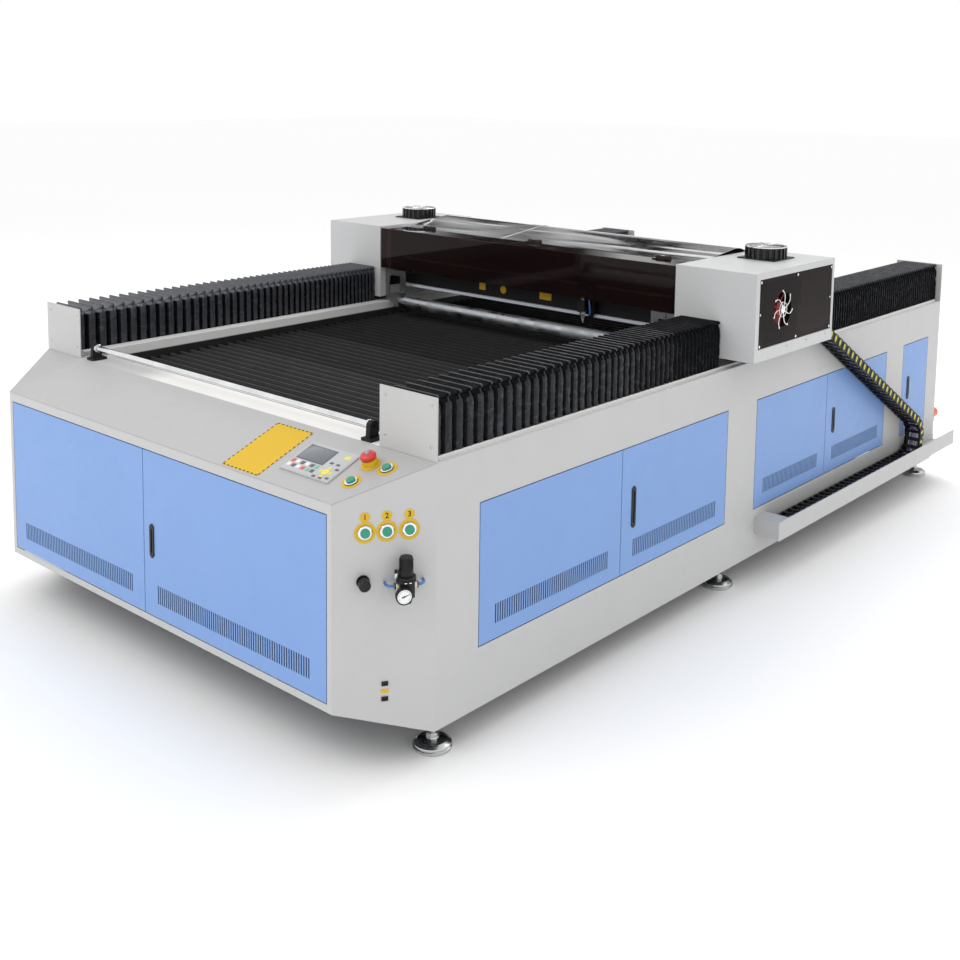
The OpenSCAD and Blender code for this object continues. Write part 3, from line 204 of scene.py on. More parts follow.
def makeFloor(s):
    floor, _, sockets = stageSheet("paleFloor", s["floorReach"], Matrix.Identity(4))
    sockets["Base Color"].default_value = (0.98, 0.98, 0.98, 1)
    sockets["Roughness"].default_value = 0.7
    return floor


def makeBanner(s):
    # dark banner that only polished metal sees, so that the covers are not blank white
    turn = Matrix.Rotation(math.radians(s["bannerTurn"]), 4, "Z") @ Matrix.Rotation(math.pi / 2, 4, "X")
    spread = Matrix.Diagonal((*s["bannerSize"], 1, 1))
    banner, tree, sockets = stageSheet("banner", 0.5, Matrix.Translation(s["bannerPlace"]) @ turn @ spread)
    coord = addNode(tree, "ShaderNodeTexCoord").outputs["Object"]
    tree.links.new(ramp(tree, noiseTexture(tree, coord, 0.7, 2.0), 0.42, 0.6, 0.01, 0.45), sockets["Base Color"])
    sockets["Roughness"].default_value = 1.0
    sockets["Specular IOR Level"].default_value = 0.0
    banner.visible_camera = banner.visible_diffuse = banner.visible_shadow = banner.visible_transmission = False
    return banner


def makeStudio(s):
    world = bpy.data.worlds.new("paleStudio")
    scene.world = world
    world.use_nodes = True
    back = world.node_tree.nodes["Background"]
    back.inputs["Color"].default_value = (1, 1, 1, 1)
    back.inputs["Strength"].default_value = s["world"]
    for lamp in s["lamps"]:
        areaLight(*lamp)
    makeFloor(s)
    makeBanner(s)
    scene.view_settings.view_transform = "Standard"


makeStudio(studio)
print("studio ready")


def newGroup(name, **inputs):
    # a tuple of four numbers is a colour and of three a vector
    tree = bpy.data.node_groups.new(name, "ShaderNodeTree")
    for label, value in inputs.items():
        kind = {4: "Color", 3: "Vector"}[len(value)] if isinstance(value, tuple) else "Float"
        socket = tree.interface.new_socket(label.replace("_", " "), in_out="INPUT", socket_type="NodeSocket" + kind)
        socket.default_value = value
    for label, kind in (("Color", "Color"), ("Roughness", "Float"), ("Normal", "Vector")):
        tree.interface.new_socket(label, in_out="OUTPUT", socket_type="NodeSocket" + kind)
    coord = addNode(tree, "ShaderNodeTexCoord").outputs["Object"]
    return tree, tree.nodes.new("NodeGroupInput").outputs, coord


def closeGroup(tree, color, rough, normal):
    end = tree.nodes.new("NodeGroupOutput")
    for label, source in (("Color", color), ("Roughness", rough), ("Normal", normal)):
        tree.links.new(source, end.inputs[label])
    return tree


def powderCoatGroup():
    # orange-peel powder coat with faint handling marks and folded edges that catch the light
    tree, given, coord = newGroup("powderCoat", Color=(0.8, 0.8, 0.8, 1), Peel=0.05, Marks=0.3, Base_Roughness=0.4,
                                  Fold=0.0025)
    peel = noiseTexture(tree, coord, 520, 2, 0.6)
    broad = noiseTexture(tree, coord, 2.3, 4, 0.55)
    smear = noiseTexture(tree, coord, 14, 5, 0.65, 1.2)
    marks = combine(tree, ramp(tree, smear, 0.52, 0.72), given["Marks"], "MULTIPLY")
    dark = mixColor(tree, 1.0, given["Color"], (0.86, 0.86, 0.85, 1), "MULTIPLY")
    tone = mixColor(tree, ramp(tree, broad, 0.3, 0.7, 0.0, 0.28), given["Color"], dark)
    color = mixColor(tree, ramp(tree, marks, 0, 1, 0, 0.5), tone, dark)
    rough = combine(tree, ramp(tree, smear, 0.3, 0.75, -0.06, 0.1), given["Base Roughness"], "ADD")
    fold = addNode(tree, "ShaderNodeBevel", {"Radius": given["Fold"]}, samples=4).outputs["Normal"]
    return closeGroup(tree, color, rough, bump(tree, peel, given["Peel"], 0.0008, fold))


def drawnMetalGroup():
    # drawn or ground metal: fine lines along one direction and cloudy roughness
    tree, given, coord = newGroup("drawnMetal", Color=(0.7, 0.7, 0.7, 1), Lines=(30.0, 900.0, 900.0), Grain=0.1,
                                  Waves=0.0, Base_Roughness=0.25, Cloud=0.15)
    stretched = addNode(tree, "ShaderNodeVectorMath", {0: coord, 1: given["Lines"]}, operation="MULTIPLY").outputs[0]
    lines = noiseTexture(tree, stretched, 1.0, 2, 0.5)
    cloud = noiseTexture(tree, coord, 9, 5, 0.62, 0.6)
    spots = noiseTexture(tree, coord, 60, 3, 0.6)
    dark = mixColor(tree, 1.0, given["Color"], (0.72, 0.73, 0.75, 1), "MULTIPLY")
    color = mixColor(tree, ramp(tree, cloud, 0.35, 0.7, 0, 0.8), given["Color"], dark)
    cloudy = combine(tree, ramp(tree, cloud, 0.3, 0.7, -0.5, 1.0), given["Cloud"], "MULTIPLY")
    grainy = combine(tree, ramp(tree, spots, 0.3, 0.8, 0, 0.06), cloudy, "ADD")
    rough = combine(tree, grainy, given["Base Roughness"], "ADD")
    long = addNode(tree, "ShaderNodeMapping", {"Vector": coord}, Scale=(1.3, 7.0, 4.0)).outputs[0]
    bend = bump(tree, noiseTexture(tree, long, 1.0, 1, 0.4, 0.8), given["Waves"], 0.012)
    return closeGroup(tree, color, rough, bump(tree, lines, given["Grain"], 0.0005, bend))


def mouldedGrainGroup():
    # moulded plastic with a spark-eroded grain and slight wear
    tree, given, coord = newGroup("mouldedGrain", Color=(0.03, 0.03, 0.03, 1), Grain=0.15, Base_Roughness=0.5, Dust=0.2)
    grain = noiseTexture(tree, coord, 1400, 2, 0.6)
    soil = noiseTexture(tree, coord, 26, 5, 0.6, 0.5)
    pale = mixColor(tree, 0.12, given["Color"], (0.55, 0.55, 0.54, 1))
    dusty = combine(tree, ramp(tree, soil, 0.45, 0.75), given["Dust"], "MULTIPLY")
    color = mixColor(tree, dusty, given["Color"], pale)
    rough = combine(tree, ramp(tree, soil, 0.3, 0.7, -0.05, 0.1), given["Base Roughness"], "ADD")
    return closeGroup(tree, color, rough, bump(tree, grain, given["Grain"], 0.0003))


def coatedClothGroup():
    # coated pleat cloth: tight weave, crossways crinkles and painted bluish glints: a pale tone mixed onto the crinkle
    # ridges as painted highlight, and in broad random patches
    tree, given, coord = newGroup("coatedCloth", Color=(0.02, 0.02, 0.025, 1), Weave=0.2, Crinkle=0.5, Bloom=0.16)
    stretched = addNode(tree, "ShaderNodeMapping", {"Vector": coord}, Scale=(1.0, 1.0, 2.0)).outputs[0]
    crinkle = noiseTexture(tree, stretched, 26, 4, 0.6, 0.7)
    broad = noiseTexture(tree, coord, 6, 3, 0.5)
    warp = addNode(tree, "ShaderNodeTexWave", {"Vector": coord}, bands_direction="Z", Scale=420).outputs["Fac"]
    weft = addNode(tree, "ShaderNodeTexWave", {"Vector": coord}, bands_direction="DIAGONAL", Scale=300).outputs["Fac"]
    paintedGlint = mixColor(tree, given["Bloom"], given["Color"], (0.22, 0.24, 0.29, 1))
    # pale tone on the crinkle ridges: painted highlight
    crinkleGlints = ramp(tree, ramp(tree, crinkle, 0.53, 0.68), 0, 1, 0, 0.8)
    color = mixColor(tree, crinkleGlints, given["Color"], paintedGlint)
    color = mixColor(tree, ramp(tree, broad, 0.3, 0.7, 0, 0.15), color, paintedGlint)
    woven = bump(tree, combine(tree, warp, weft, "ADD"), given["Weave"], 0.0003)
    normal = bump(tree, crinkle, given["Crinkle"], 0.004, woven)
    return closeGroup(tree, color, ramp(tree, crinkle, 0.35, 0.65, 0.5, 0.3), normal)


groups = {"coat": powderCoatGroup(), "metal": drawnMetalGroup(), "plastic": mouldedGrainGroup(),
          "cloth": coatedClothGroup()}
finishes = {}


def finish(name, group, color, metallic=0.0, coat=0.0, coatRough=0.1, specular=0.5, **values):
    mat = bpy.data.materials.new(name)
    mat.use_nodes = True
    tree = mat.node_tree
    shader = tree.nodes["Principled BSDF"]
    effect = tree.nodes.new("ShaderNodeGroup")
    effect.node_tree = groups[group]
    effect.inputs["Color"].default_value = (*color, 1)
    for key, value in values.items():
        effect.inputs[key.replace("_", " ")].default_value = value
    for key in ("Roughness", "Normal"):
        tree.links.new(effect.outputs[key], shader.inputs[key])
    tree.links.new(effect.outputs["Color"], shader.inputs["Base Color"])
    shader.inputs["Metallic"].default_value = metallic
    shader.inputs["Coat Weight"].default_value = coat
    shader.inputs["Coat Roughness"].default_value = coatRough
    shader.inputs["Specular IOR Level"].default_value = specular
    finishes[name] = mat
    return mat


# colour, specular, peel, marks, roughness
coats = {
    "greyCoat": ((0.51, 0.51, 0.508), 0.5, 0.12, 0.25, 0.42),
    # the deck's tilted face in a darker copy of the cabinet grey: painted shade
    "deckShadedCoat": ((0.432, 0.432, 0.433), 0.5, 0.12, 0.25, 0.42),
    "paleCoat": ((0.54, 0.545, 0.55), 0.5, 0.1, 0.2, 0.36),
    # lighter copy of the grey for the flat shell tops and the curbs beside the bellows, which the bellows shade:
    # painted light
    "paintedLightCoat": ((0.72, 0.72, 0.71), 0.5, 0.1, 0.1, 0.4),
    "blueCoat": ((0.19, 0.335, 0.66), 0.5, 0.1, 0.2, 0.38),
    "darkCoat": ((0.05, 0.052, 0.055), 0.5, 0.2, 0.4, 0.45),
    "blackCoat": ((0.008, 0.008, 0.009), 0.25, 0.2, 0.5, 0.5),
    "railPaint": ((0.60, 0.64, 0.71), 0.5, 0.05, 0.5, 0.3),
}

# colour, metallic, specular, lines, grain, waves, roughness, cloud
metals = {
    "slatSteel": ((0.064, 0.063, 0.064), 0, 0.3, (9.0, 160.0, 160.0), 0.35, 0, 0.5, 0.2),
    # darker copies towards the rear of the bed: soot, together with painted shade under the hood
    "slatSootHalfShade": ((0.046, 0.045, 0.046), 0, 0.2, (9.0, 160.0, 160.0), 0.35, 0, 0.55, 0.2),
    "slatSootShade": ((0.030, 0.029, 0.030), 0, 0.12, (9.0, 160.0, 160.0), 0.35, 0, 0.6, 0.2),
    "zinc": ((0.62, 0.63, 0.62), 1, 0.5, (300.0, 300.0, 300.0), 0.12, 0, 0.2, 0.22),
    # darker zinc for the gantry brackets, half-way between their lit left end and shaded right end: painted shade
    "shadedZinc": ((0.33, 0.335, 0.34), 1, 0.5, (300.0, 300.0, 300.0), 0.12, 0, 0.3, 0.2),
    "tubeZinc": ((0.42, 0.435, 0.45), 1, 0.5, (40.0, 90.0, 90.0), 0.5, 0, 0.26, 0.45),
    "chrome": ((0.86, 0.86, 0.87), 1, 0.5, (400.0, 400.0, 400.0), 0.02, 0, 0.07, 0.04),
    "groundSteel": ((0.72, 0.72, 0.73), 1, 0.5, (20.0, 900.0, 900.0), 0.1, 0, 0.2, 0.12),
    "mirrorSteel": ((0.74, 0.74, 0.75), 1, 0.5, (12.0, 700.0, 700.0), 0.03, 0.35, 0.05, 0.04),
    "brassFitting": ((0.62, 0.55, 0.42), 1, 0.5, (300.0, 300.0, 300.0), 0.05, 0, 0.2, 0.1),
}

# colour, specular, weave, crinkle, painted glint; the copies below differ by painted light and shade
cloths = {
    "bellowsCloth": ((0.0115, 0.0125, 0.0158), 0.24, 0.2, 1.0, 0.16),
    # lighter copy for the left cover's flank, which the lamps leave dim: painted light
    "bellowsFaded": ((0.024, 0.0256, 0.032), 0.3, 0.2, 1.0, 0.16),
    # darker copies for the lengths near the gantry and the rear flank: painted shade
    "bellowsDusk": ((0.005, 0.0055, 0.0072), 0.15, 0.2, 0.8, 0.1),
    "bellowsDeep": ((0.0035, 0.004, 0.0056), 0.05, 0.2, 0.6, 0.04),
    # lighter, glossier copy for the left cover's top: painted sheen
    "bellowsSheen": ((0.055, 0.06, 0.072), 0.8, 0.1, 0.3, 0.16),
    # darkest copy for the fold grooves and the right cover's top: painted shade
    "bellowsShade": ((0.002, 0.0022, 0.003), 0.08, 0.2, 0.6, 0.05),
    # piping along the ridges, glossier than the cloth; its lighter colour is a painted highlight
    "bellowsBead": ((0.016, 0.018, 0.023), 0.5, 0.1, 0.2, 0.16),
}

# colour, specular, coat, grain, roughness, dust
plastics = {
    "chainPlastic": ((0.006, 0.006, 0.007), 0.3, 0, 0.3, 0.45, 0.1),
    "lemonPlastic": ((0.52, 0.47, 0.03), 0.5, 0, 0.15, 0.4, 0.1),
    "cableViolet": ((0.20, 0.17, 0.42), 0.5, 0, 0.05, 0.3, 0.05),
    "cableGrey": ((0.30, 0.31, 0.33), 0.5, 0, 0.1, 0.5, 0.1),
    "blackPlastic": ((0.006, 0.006, 0.007), 0.3, 0, 0.25, 0.4, 0.2),
    "glossBlack": ((0.004, 0.004, 0.005), 0.6, 0, 0.05, 0.15, 0.05),
    "castBlack": ((0.008, 0.008, 0.009), 0.35, 0, 0.4, 0.35, 0.2),
    "inkBlack": ((0.01, 0.01, 0.01), 0.5, 0, 0.05, 0.5, 0.05),
    "yellowPlastic": ((0.68, 0.42, 0.015), 0.5, 0, 0.15, 0.4, 0.1),
    "yellowCard": ((0.66, 0.42, 0.02), 0.3, 0, 0.1, 0.5, 0.1),
    "greenPlastic": ((0.0, 0.26, 0.17), 0.5, 0.4, 0.04, 0.25, 0.05),
    "redPlastic": ((0.60, 0.02, 0.02), 0.5, 0.3, 0.06, 0.28, 0.08),
    "orangePlastic": ((0.75, 0.13, 0.04), 0.5, 0, 0.1, 0.35, 0.1),
    "fanRed": ((0.32, 0.03, 0.025), 0.5, 0, 0.1, 0.4, 0.1),
    "fanGrey": ((0.07, 0.07, 0.075), 0.5, 0, 0.15, 0.45, 0.2),
    "hoseBlue": ((0.04, 0.15, 0.43), 0.5, 0.4, 0.02, 0.2, 0.05),
    "dialWhite": ((0.85, 0.86, 0.87), 0.5, 0, 0.02, 0.3, 0.03),
    "keypadFilm": ((0.46, 0.47, 0.48), 0.5, 0, 0.2, 0.38, 0.05),
    "keyWhite": ((0.75, 0.75, 0.74), 0.5, 0, 0.1, 0.35, 0.05),
    "keyDark": ((0.10, 0.11, 0.14), 0.5, 0, 0.1, 0.35, 0.05),
    "keyYellow": ((0.75, 0.66, 0.10), 0.5, 0, 0.1, 0.35, 0.05),
    "keyRed": ((0.65, 0.10, 0.09), 0.5, 0, 0.1, 0.35, 0.05),
    "keyGreen": ((0.18, 0.45, 0.32), 0.5, 0, 0.1, 0.35, 0.05),
    "screenGlass": ((0.12, 0.135, 0.15), 0.5, 0.6, 0.02, 0.12, 0.1),
    "boardGreen": ((0.02, 0.075, 0.05), 0.5, 0, 0.1, 0.35, 0.1),
}

for name, (color, specular, peel, marks, rough) in coats.items():
    finish(name, "coat", color, specular=specular, Peel=peel, Marks=marks, Base_Roughness=rough)
for name, (color, metallic, specular, lines, grain, waves, rough, cloud) in metals.items():
    finish(name, "metal", color, metallic, specular=specular, Lines=lines, Grain=grain, Waves=waves,
           Base_Roughness=rough, Cloud=cloud)
for name, (color, specular, weave, crinkle, paintedGlint) in cloths.items():
    finish(name, "cloth", color, specular=specular, Weave=weave, Crinkle=crinkle, Bloom=paintedGlint)
for name, (color, specular, coat, grain, rough, dust) in plastics.items():
    finish(name, "plastic", color, coat=coat, specular=specular, Grain=grain, Base_Roughness=rough, Dust=dust)


def glassFinish(name, color, rough, transmission, ior, coat=0.0):
    mat = finish(name, "metal", color, coat=coat, coatRough=0.03, Lines=(3.0, 3.0, 3.0), Grain=0.02,
                 Base_Roughness=rough, Cloud=0.05)
    shader = mat.node_tree.nodes["Principled BSDF"]
    shader.inputs["Transmission Weight"].default_value = transmission
    shader.inputs["IOR"].default_value = ior
    shader.inputs["Coat IOR"].default_value = 1.9


def splitFinish(name, axis, edge, fade, below, above):
    # one coat below a level of the named axis, another above it
    mat = finish(name, "coat", above, Peel=0.12, Marks=0.2, Base_Roughness=0.42)
    tree = mat.node_tree
    base = tree.nodes["Principled BSDF"].inputs["Base Color"]
    top = base.links[0].from_socket
    split = addNode(tree, "ShaderNodeSeparateXYZ", {0: addNode(tree, "ShaderNodeTexCoord").outputs["Object"]})
    share = ramp(tree, split.outputs[axis], edge - fade, edge + fade)
    tree.links.new(mixColor(tree, share, (*below, 1), top), base)


splitFinish("wellCoat", "Z", 0.838, 0.002, (0.012, 0.0115, 0.011), (0.72, 0.72, 0.71))
# the flat ledge behind the deck: painted light on its right part, painted shade in the cabinet grey on its left
splitFinish("ledgeLitAndShaded", "X", -0.37, 0.07, (0.51, 0.51, 0.508), (0.80, 0.79, 0.77))
glassFinish("smokedAcrylic", (0.13, 0.066, 0.065), 0.01, 0.93, 1.23)
glassFinish("gleamAcrylic", (0.12, 0.03, 0.028), 0.02, 0.93, 1.45, 1.0)
glassFinish("windowAcrylic", (0.14, 0.096, 0.092), 0.01, 0.95, 1.12)
glassFinish("tubeGlass", (0.9, 0.93, 0.95), 0.04, 0.95, 1.45)
print("finishes ready", len(finishes))


def paint(node, *names):
    mesh = nodes[node].data
    mesh.materials.clear()
    for name in names:
        mesh.materials.append(finishes[name])
    mesh.polygons.foreach_set("material_index", [0] * len(mesh.polygons))


def paintWhere(node, index, test):
    mesh = nodes[node].data
    for face in mesh.polygons:
        if test(face.center * 1000 + Vector((0, machine["midY"], 0)), face.normal):
            face.material_index = index


partFinish = {
    "base_frame": "darkCoat", "slat_combs": "blackCoat", "front_roller": "chrome", "roller_brackets": "blackCoat",
    "y_rails": "groundSteel", "chain_tray": "greyCoat", "levelling_feet": "zinc", "keypad": "keypadFilm",
    "emergency_stop": "redPlastic", "panel_fittings": "blackPlastic", "air_regulator": "castBlack",
    "regulator_gauge": "dialWhite", "regulator_knob": "blackPlastic", "air_hoses": "hoseBlue",
    "power_inlet": "orangePlastic", "gantry_beam": "blackCoat", "x_rail": "railPaint", "end_boxes": "paleCoat",
    # the gantry brackets take the darker zinc: painted shade
    "gantry_brackets": "shadedZinc", "fan_frames": "blackPlastic", "fan_rotor_left": "fanGrey",
    "fan_rotor_right": "fanGrey", "fan_rotor_side": "fanRed", "tube_cover": "mirrorSteel", "laser_tube": "tubeGlass",
    "suction_tube": "tubeZinc", "laser_carriage": "blackCoat", "laser_head": "groundSteel",
    "deck_button_left": "greenPlastic", "deck_button_right": "greenPlastic", "start_button_1": "greenPlastic",
    "start_button_2": "greenPlastic", "start_button_3": "greenPlastic",
}
for node, name in partFinish.items():
    paint(node, name)

doors = ["front_door_left", "front_door_right", "chain_side_doors"]
doors += ["right_door_%d" % n for n in (1, 2, 3)] + ["left_door_%d" % n for n in (1, 2, 3, 4, 5)]
for node in doors:
    paint(node, "blueCoat", "blackPlastic")

# black handles on the blue leaves: middle across the leaf and half the length of each
grips = {"half": 11.2, "inner": 6.2, "slack": 0.5, "front": (16.5, 440, 54), "frontDepth": 13, "frontFace": -0.05,
         "sideZ": 487, "sideDepth": 986, "sideFace": 1000.05,
         "side": (("right_door_2", 1164.5, 70), ("left_door_2", 1164.5, 70), ("left_door_4", 2605.5, 54),
                  ("left_door_5", 3363, 54), ("chain_side_doors", 2605.5, 54), ("chain_side_doors", 3363, 54))}


def paintGrips(g):
    x, z, long = g["front"]
    paintWhere("front_door_right", 1, lambda c, n: abs(c.x - x) < g["half"] and abs(c.z - z) < long + g["slack"] and
               c.y < g["frontDepth"] and (c.y < g["frontFace"] or abs(c.x - x) < g["inner"]))
    for node, y, long in g["side"]:
        paintWhere(node, 1, lambda c, n: abs(c.y - y) < g["half"] and abs(c.z - g["sideZ"]) < long + g["slack"] and
                   abs(c.x) > g["sideDepth"] and (abs(c.x) > g["sideFace"] or abs(c.y - y) < g["inner"]))


paintGrips(grips)

# where a piece changes its finish
edges = {"dusk": 900, "sootShade": 1250, "spigot": 3592, "hoodTop": 1190, "windowFace": 1110.45, "level": 0.9,
         "ledgeZ": (847, 849), "ledgeHalf": 777, "ledgeFront": 236.5, "shellZ": (845, 850), "shellHalf": 800,
         "curbSpan": (252, 3684), "outerCurb": (975.5, 980.5), "outerCurbTop": 857.5,
         "innerCurb": (776.5, 807.5), "innerCurbTop": 848.5, "stopZ": 760}


def between(value, limits):
    return limits[0] < value < limits[1]


def paintEdges(e):
    # the slats darken in two steps towards the rear: soot and painted shade
    paint("bed_slats", "slatSteel", "slatSootHalfShade", "slatSootShade")
    paintWhere("bed_slats", 1, lambda c, n: c.y > e["dusk"])
    paintWhere("bed_slats", 2, lambda c, n: c.y > e["sootShade"])
    paint("bed_well", "wellCoat", "greyCoat", "zinc")
    paintWhere("bed_well", 2, lambda c, n: c.y > e["spigot"])
    paint("smoked_hood", "smokedAcrylic", "gleamAcrylic")
    paintWhere("smoked_hood", 1, lambda c, n: n.z > e["level"] and c.z > e["hoodTop"])
    paint("side_windows", "windowAcrylic", "chrome")
    paintWhere("side_windows", 1, lambda c, n: abs(c.x) > e["windowFace"])
    # the ledge behind the deck takes painted light and shade
    paint("control_deck", "deckShadedCoat", "ledgeLitAndShaded")
    paintWhere("control_deck", 1, lambda c, n: n.z > 0.99 and between(c.z, e["ledgeZ"]) and
               abs(c.x) < e["ledgeHalf"] and c.y > e["ledgeFront"])
    # flat tops of the shell beside the bed: painted light
    paint("cabinet_shell", "greyCoat", "paintedLightCoat")
    paintWhere("cabinet_shell", 1, lambda c, n: n.z > e["level"] and between(c.z, e["shellZ"]) and
               abs(c.x) > e["shellHalf"])
    # curb strips beside the bellows: painted light
    paint("bellows_end_plates", "greyCoat", "paintedLightCoat")
    paintWhere("bellows_end_plates", 1, lambda c, n: between(c.y, e["curbSpan"]) and (
        between(abs(c.x), e["outerCurb"]) and c.z < e["outerCurbTop"] or
        between(abs(c.x), e["innerCurb"]) and c.z > e["innerCurbTop"]))
    paint("button_legends", "yellowCard", "yellowPlastic")
    paint("button_bezels", "chrome", "blackPlastic")
    paintWhere("button_bezels", 1, lambda c, n: abs(n.dot(deckNormal if c.z > e["stopZ"] else panelNormal)) < 0.3)


paintEdges(edges)
print("packed parts painted")


def makePiece(name, bm, mats, body=None, sharp=35, matrix=None):
    if matrix is not None:
        bmesh.ops.transform(bm, matrix=matrix, verts=bm.verts)
    for face in bm.faces:
        face.smooth = True
    limit = math.radians(sharp)
    for edge in bm.edges:
        edge.smooth = len(edge.link_faces) == 2 and edge.calc_face_angle(0) < limit
    mesh = bpy.data.meshes.new(name)
    bm.to_mesh(mesh)
    bm.free()
    for mat in ([mats] if isinstance(mats, str) else mats):
        mesh.materials.append(finishes[mat])
    piece = bpy.data.objects.new(name, mesh)
    scene.collection.objects.link(piece)
    if body:
        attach(piece, body)
    return piece


def turnZ(angle):
    return Matrix.Rotation(angle, 4, "Z")


def boxPlace(centre, size):
    return Matrix.Translation(centre) @ Matrix.Diagonal((*size, 1))


def edgesOf(verts):
    return {e for v in verts for e in v.link_edges}


def bevelEdges(bm, some, offset, segments):
    bmesh.ops.bevel(bm, geom=list(some), offset=offset, segments=segments, affect="EDGES", profile=0.5, material=-1)


def markNew(bm, before, index):
    for face in bm.faces:
        if face not in before:
            face.material_index = index


def addBox(bm, centre, size, bevel=0.0, index=0, segments=2):
    before = set(bm.faces)
    verts = bmesh.ops.create_cube(bm, size=1, matrix=boxPlace(centre, size))["verts"]
    if bevel:
        bevelEdges(bm, edgesOf(verts), bevel, segments)
    markNew(bm, before, index)


def addBar(bm, matrix, size, index=0):
    before = set(bm.faces)
    bmesh.ops.create_cube(bm, size=1, matrix=matrix @ Matrix.Diagonal((*size, 1)))
    markNew(bm, before, index)


def addDisc(bm, centre, radius, height, axis="Z", segments=32, index=0, bevel=0.0):
    before = set(bm.faces)
    turn = {"Z": Matrix.Identity(4), "X": Matrix.Rotation(math.pi / 2, 4, "Y"),
            "Y": Matrix.Rotation(-math.pi / 2, 4, "X")}[axis]
    verts = bmesh.ops.create_cone(bm, cap_ends=True, segments=segments, radius1=radius, radius2=radius, depth=height,
                                  matrix=Matrix.Translation(centre) @ turn)["verts"]
    if bevel:
        bevelEdges(bm, (e for e in edgesOf(verts) if e.calc_face_angle(0) > 1), bevel, 2)
    markNew(bm, before, index)


def addTurned(bm, outline, segments=40, index=0, matrix=None):
    # outline of [radius, height] pairs spun about Z
    verts = [bm.verts.new((r, 0, h)) for r, h in outline]
    line = [bm.edges.new((a, b)) for a, b in zip(verts, verts[1:])]
    done = bmesh.ops.spin(bm, geom=verts + line, cent=(0, 0, 0), axis=(0, 0, 1), angle=2 * math.pi, steps=segments,
                          use_merge=True)
    island = {v for v in done["geom_last"] if isinstance(v, bmesh.types.BMVert)} | set(verts)
    stack = list(island)
    while stack:
        v = stack.pop()
        for e in v.link_edges:
            other = e.other_vert(v)
            if other not in island:
                island.add(other)
                stack.append(other)
    bmesh.ops.remove_doubles(bm, verts=list(island), dist=0.0005)
    island = [v for v in island if v.is_valid]
    faces = list({f for v in island for f in v.link_faces})
    bmesh.ops.recalc_face_normals(bm, faces=faces)
    for face in faces:
        face.material_index = index
    if matrix is not None:
        bmesh.ops.transform(bm, matrix=matrix, verts=island)


def tubeAlong(bm, points, radius, sides=10, index=0):
    # round section carried along a path of points
    points = [Vector(p) for p in points]
    rings = []
    last = None
    for i, p in enumerate(points):
        ahead = points[min(i + 1, len(points) - 1)] - points[max(i - 1, 0)]
        ahead.normalize()
        ref = last or (Vector((0, 0, 1)) if abs(ahead.z) < 0.9 else Vector((1, 0, 0)))
        side = ahead.cross(ref).normalized()
        up = side.cross(ahead).normalized()
        last = up
        ring = [bm.verts.new(p + (side * math.cos(a) + up * math.sin(a)) * radius)
                for a in (2 * math.pi * k / sides for k in range(sides))]
        rings.append([bm.edges.new((ring[k], ring[(k + 1) % sides])) for k in range(sides)])
    made = []
    for a, b in zip(rings, rings[1:]):
        made += bmesh.ops.bridge_loops(bm, edges=a + b)["faces"]
    for ring in (rings[0], rings[-1]):
        made += bmesh.ops.edgeloop_fill(bm, edges=ring)["faces"]
    bmesh.ops.recalc_face_normals(bm, faces=made)
    for face in made:
        face.material_index = index


def polar(radius, angle, height):
    return (radius * math.cos(angle), radius * math.sin(angle), height)


def addRing(bm, radius, height, thick, steps=40):
    tubeAlong(bm, [polar(radius, 2 * math.pi * k / steps, height) for k in range(steps + 1)], thick, 6)


def smoothPath(points, steps):
    points = [Vector(p) for p in points]
    path = []
    for i in range(len(points) - 1):
        p0, p1, p2 = points[max(i - 1, 0)], points[i], points[i + 1]
        p3 = points[min(i + 2, len(points) - 1)]
        for k in range(steps):
            t = k / steps
            path.append(0.5 * ((2 * p1) + (p2 - p0) * t + (2 * p0 - 5 * p1 + 4 * p2 - p3) * t * t +
                               (3 * p1 - p0 - 3 * p2 + p3) * t ** 3))
    path.append(points[-1])
    return path


def blendStretch(piece, bodyA, bodyB, y0, y1, w0, w1):
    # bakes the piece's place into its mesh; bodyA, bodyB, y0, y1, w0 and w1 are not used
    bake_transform(piece)


wayCover = {"inner": 808.6, "outer": 979.4, "foot": 858.6, "top": 1024.4, "cut": 0.5, "cloth": 0.0008,
            "depthTop": 18, "depthSide": 17, "bead": 3.2, "flankRows": 14, "flankStep": 9.2,
            "front": ((239.6, 1716.5), 46, 45), "rear": ((2317.5, 3696.5), 62, 22),
            "shares": [0, 0.03, 0.06, 0.12, 0.2, 0.35, 0.65, 0.8, 0.88, 0.94, 0.97, 0.987, 1],
            "duskShare": 0.6, "duskLength": 6}
# flank and fold of each cover; the top's finish comes from its side. The left front flank is painted light, the rear
# flank painted shade, the left top a painted sheen and the right top painted shade; the last two pairs paint shade on
# the flank and bead of the right front cover's lengths near the gantry
coverCloth = {"frontFlank": ("bellowsFaded", "bellowsCloth"), "rearFlank": "bellowsDeep",
              "top": ("bellowsSheen", "bellowsShade"), "dusk": ("bellowsDusk", "bellowsCloth"),
              "deep": ("bellowsDeep", "bellowsShade")}


def pleatStations(y0, y1, count, first):
    # pitch shrinks evenly from the first pleat, as the cover bunches up towards the gantry
    mean = (y1 - y0) / count
    last = 2 * mean - first
    places = [y0]
    for i in range(count):
        places.append(places[-1] + first + (last - first) * (i / (count - 1)))
    scale = (y1 - y0) / (places[-1] - y0)
    return [y0 + (p - y0) * scale for p in places]


def giveWall(piece, thick):
    wall = piece.modifiers.new("wall", "SOLIDIFY")
    wall.thickness, wall.offset, wall.use_even_offset = thick, -1, False
    made = bpy.data.meshes.new_from_object(piece.evaluated_get(bpy.context.evaluated_depsgraph_get()))
    piece.modifiers.clear()
    piece.data = made


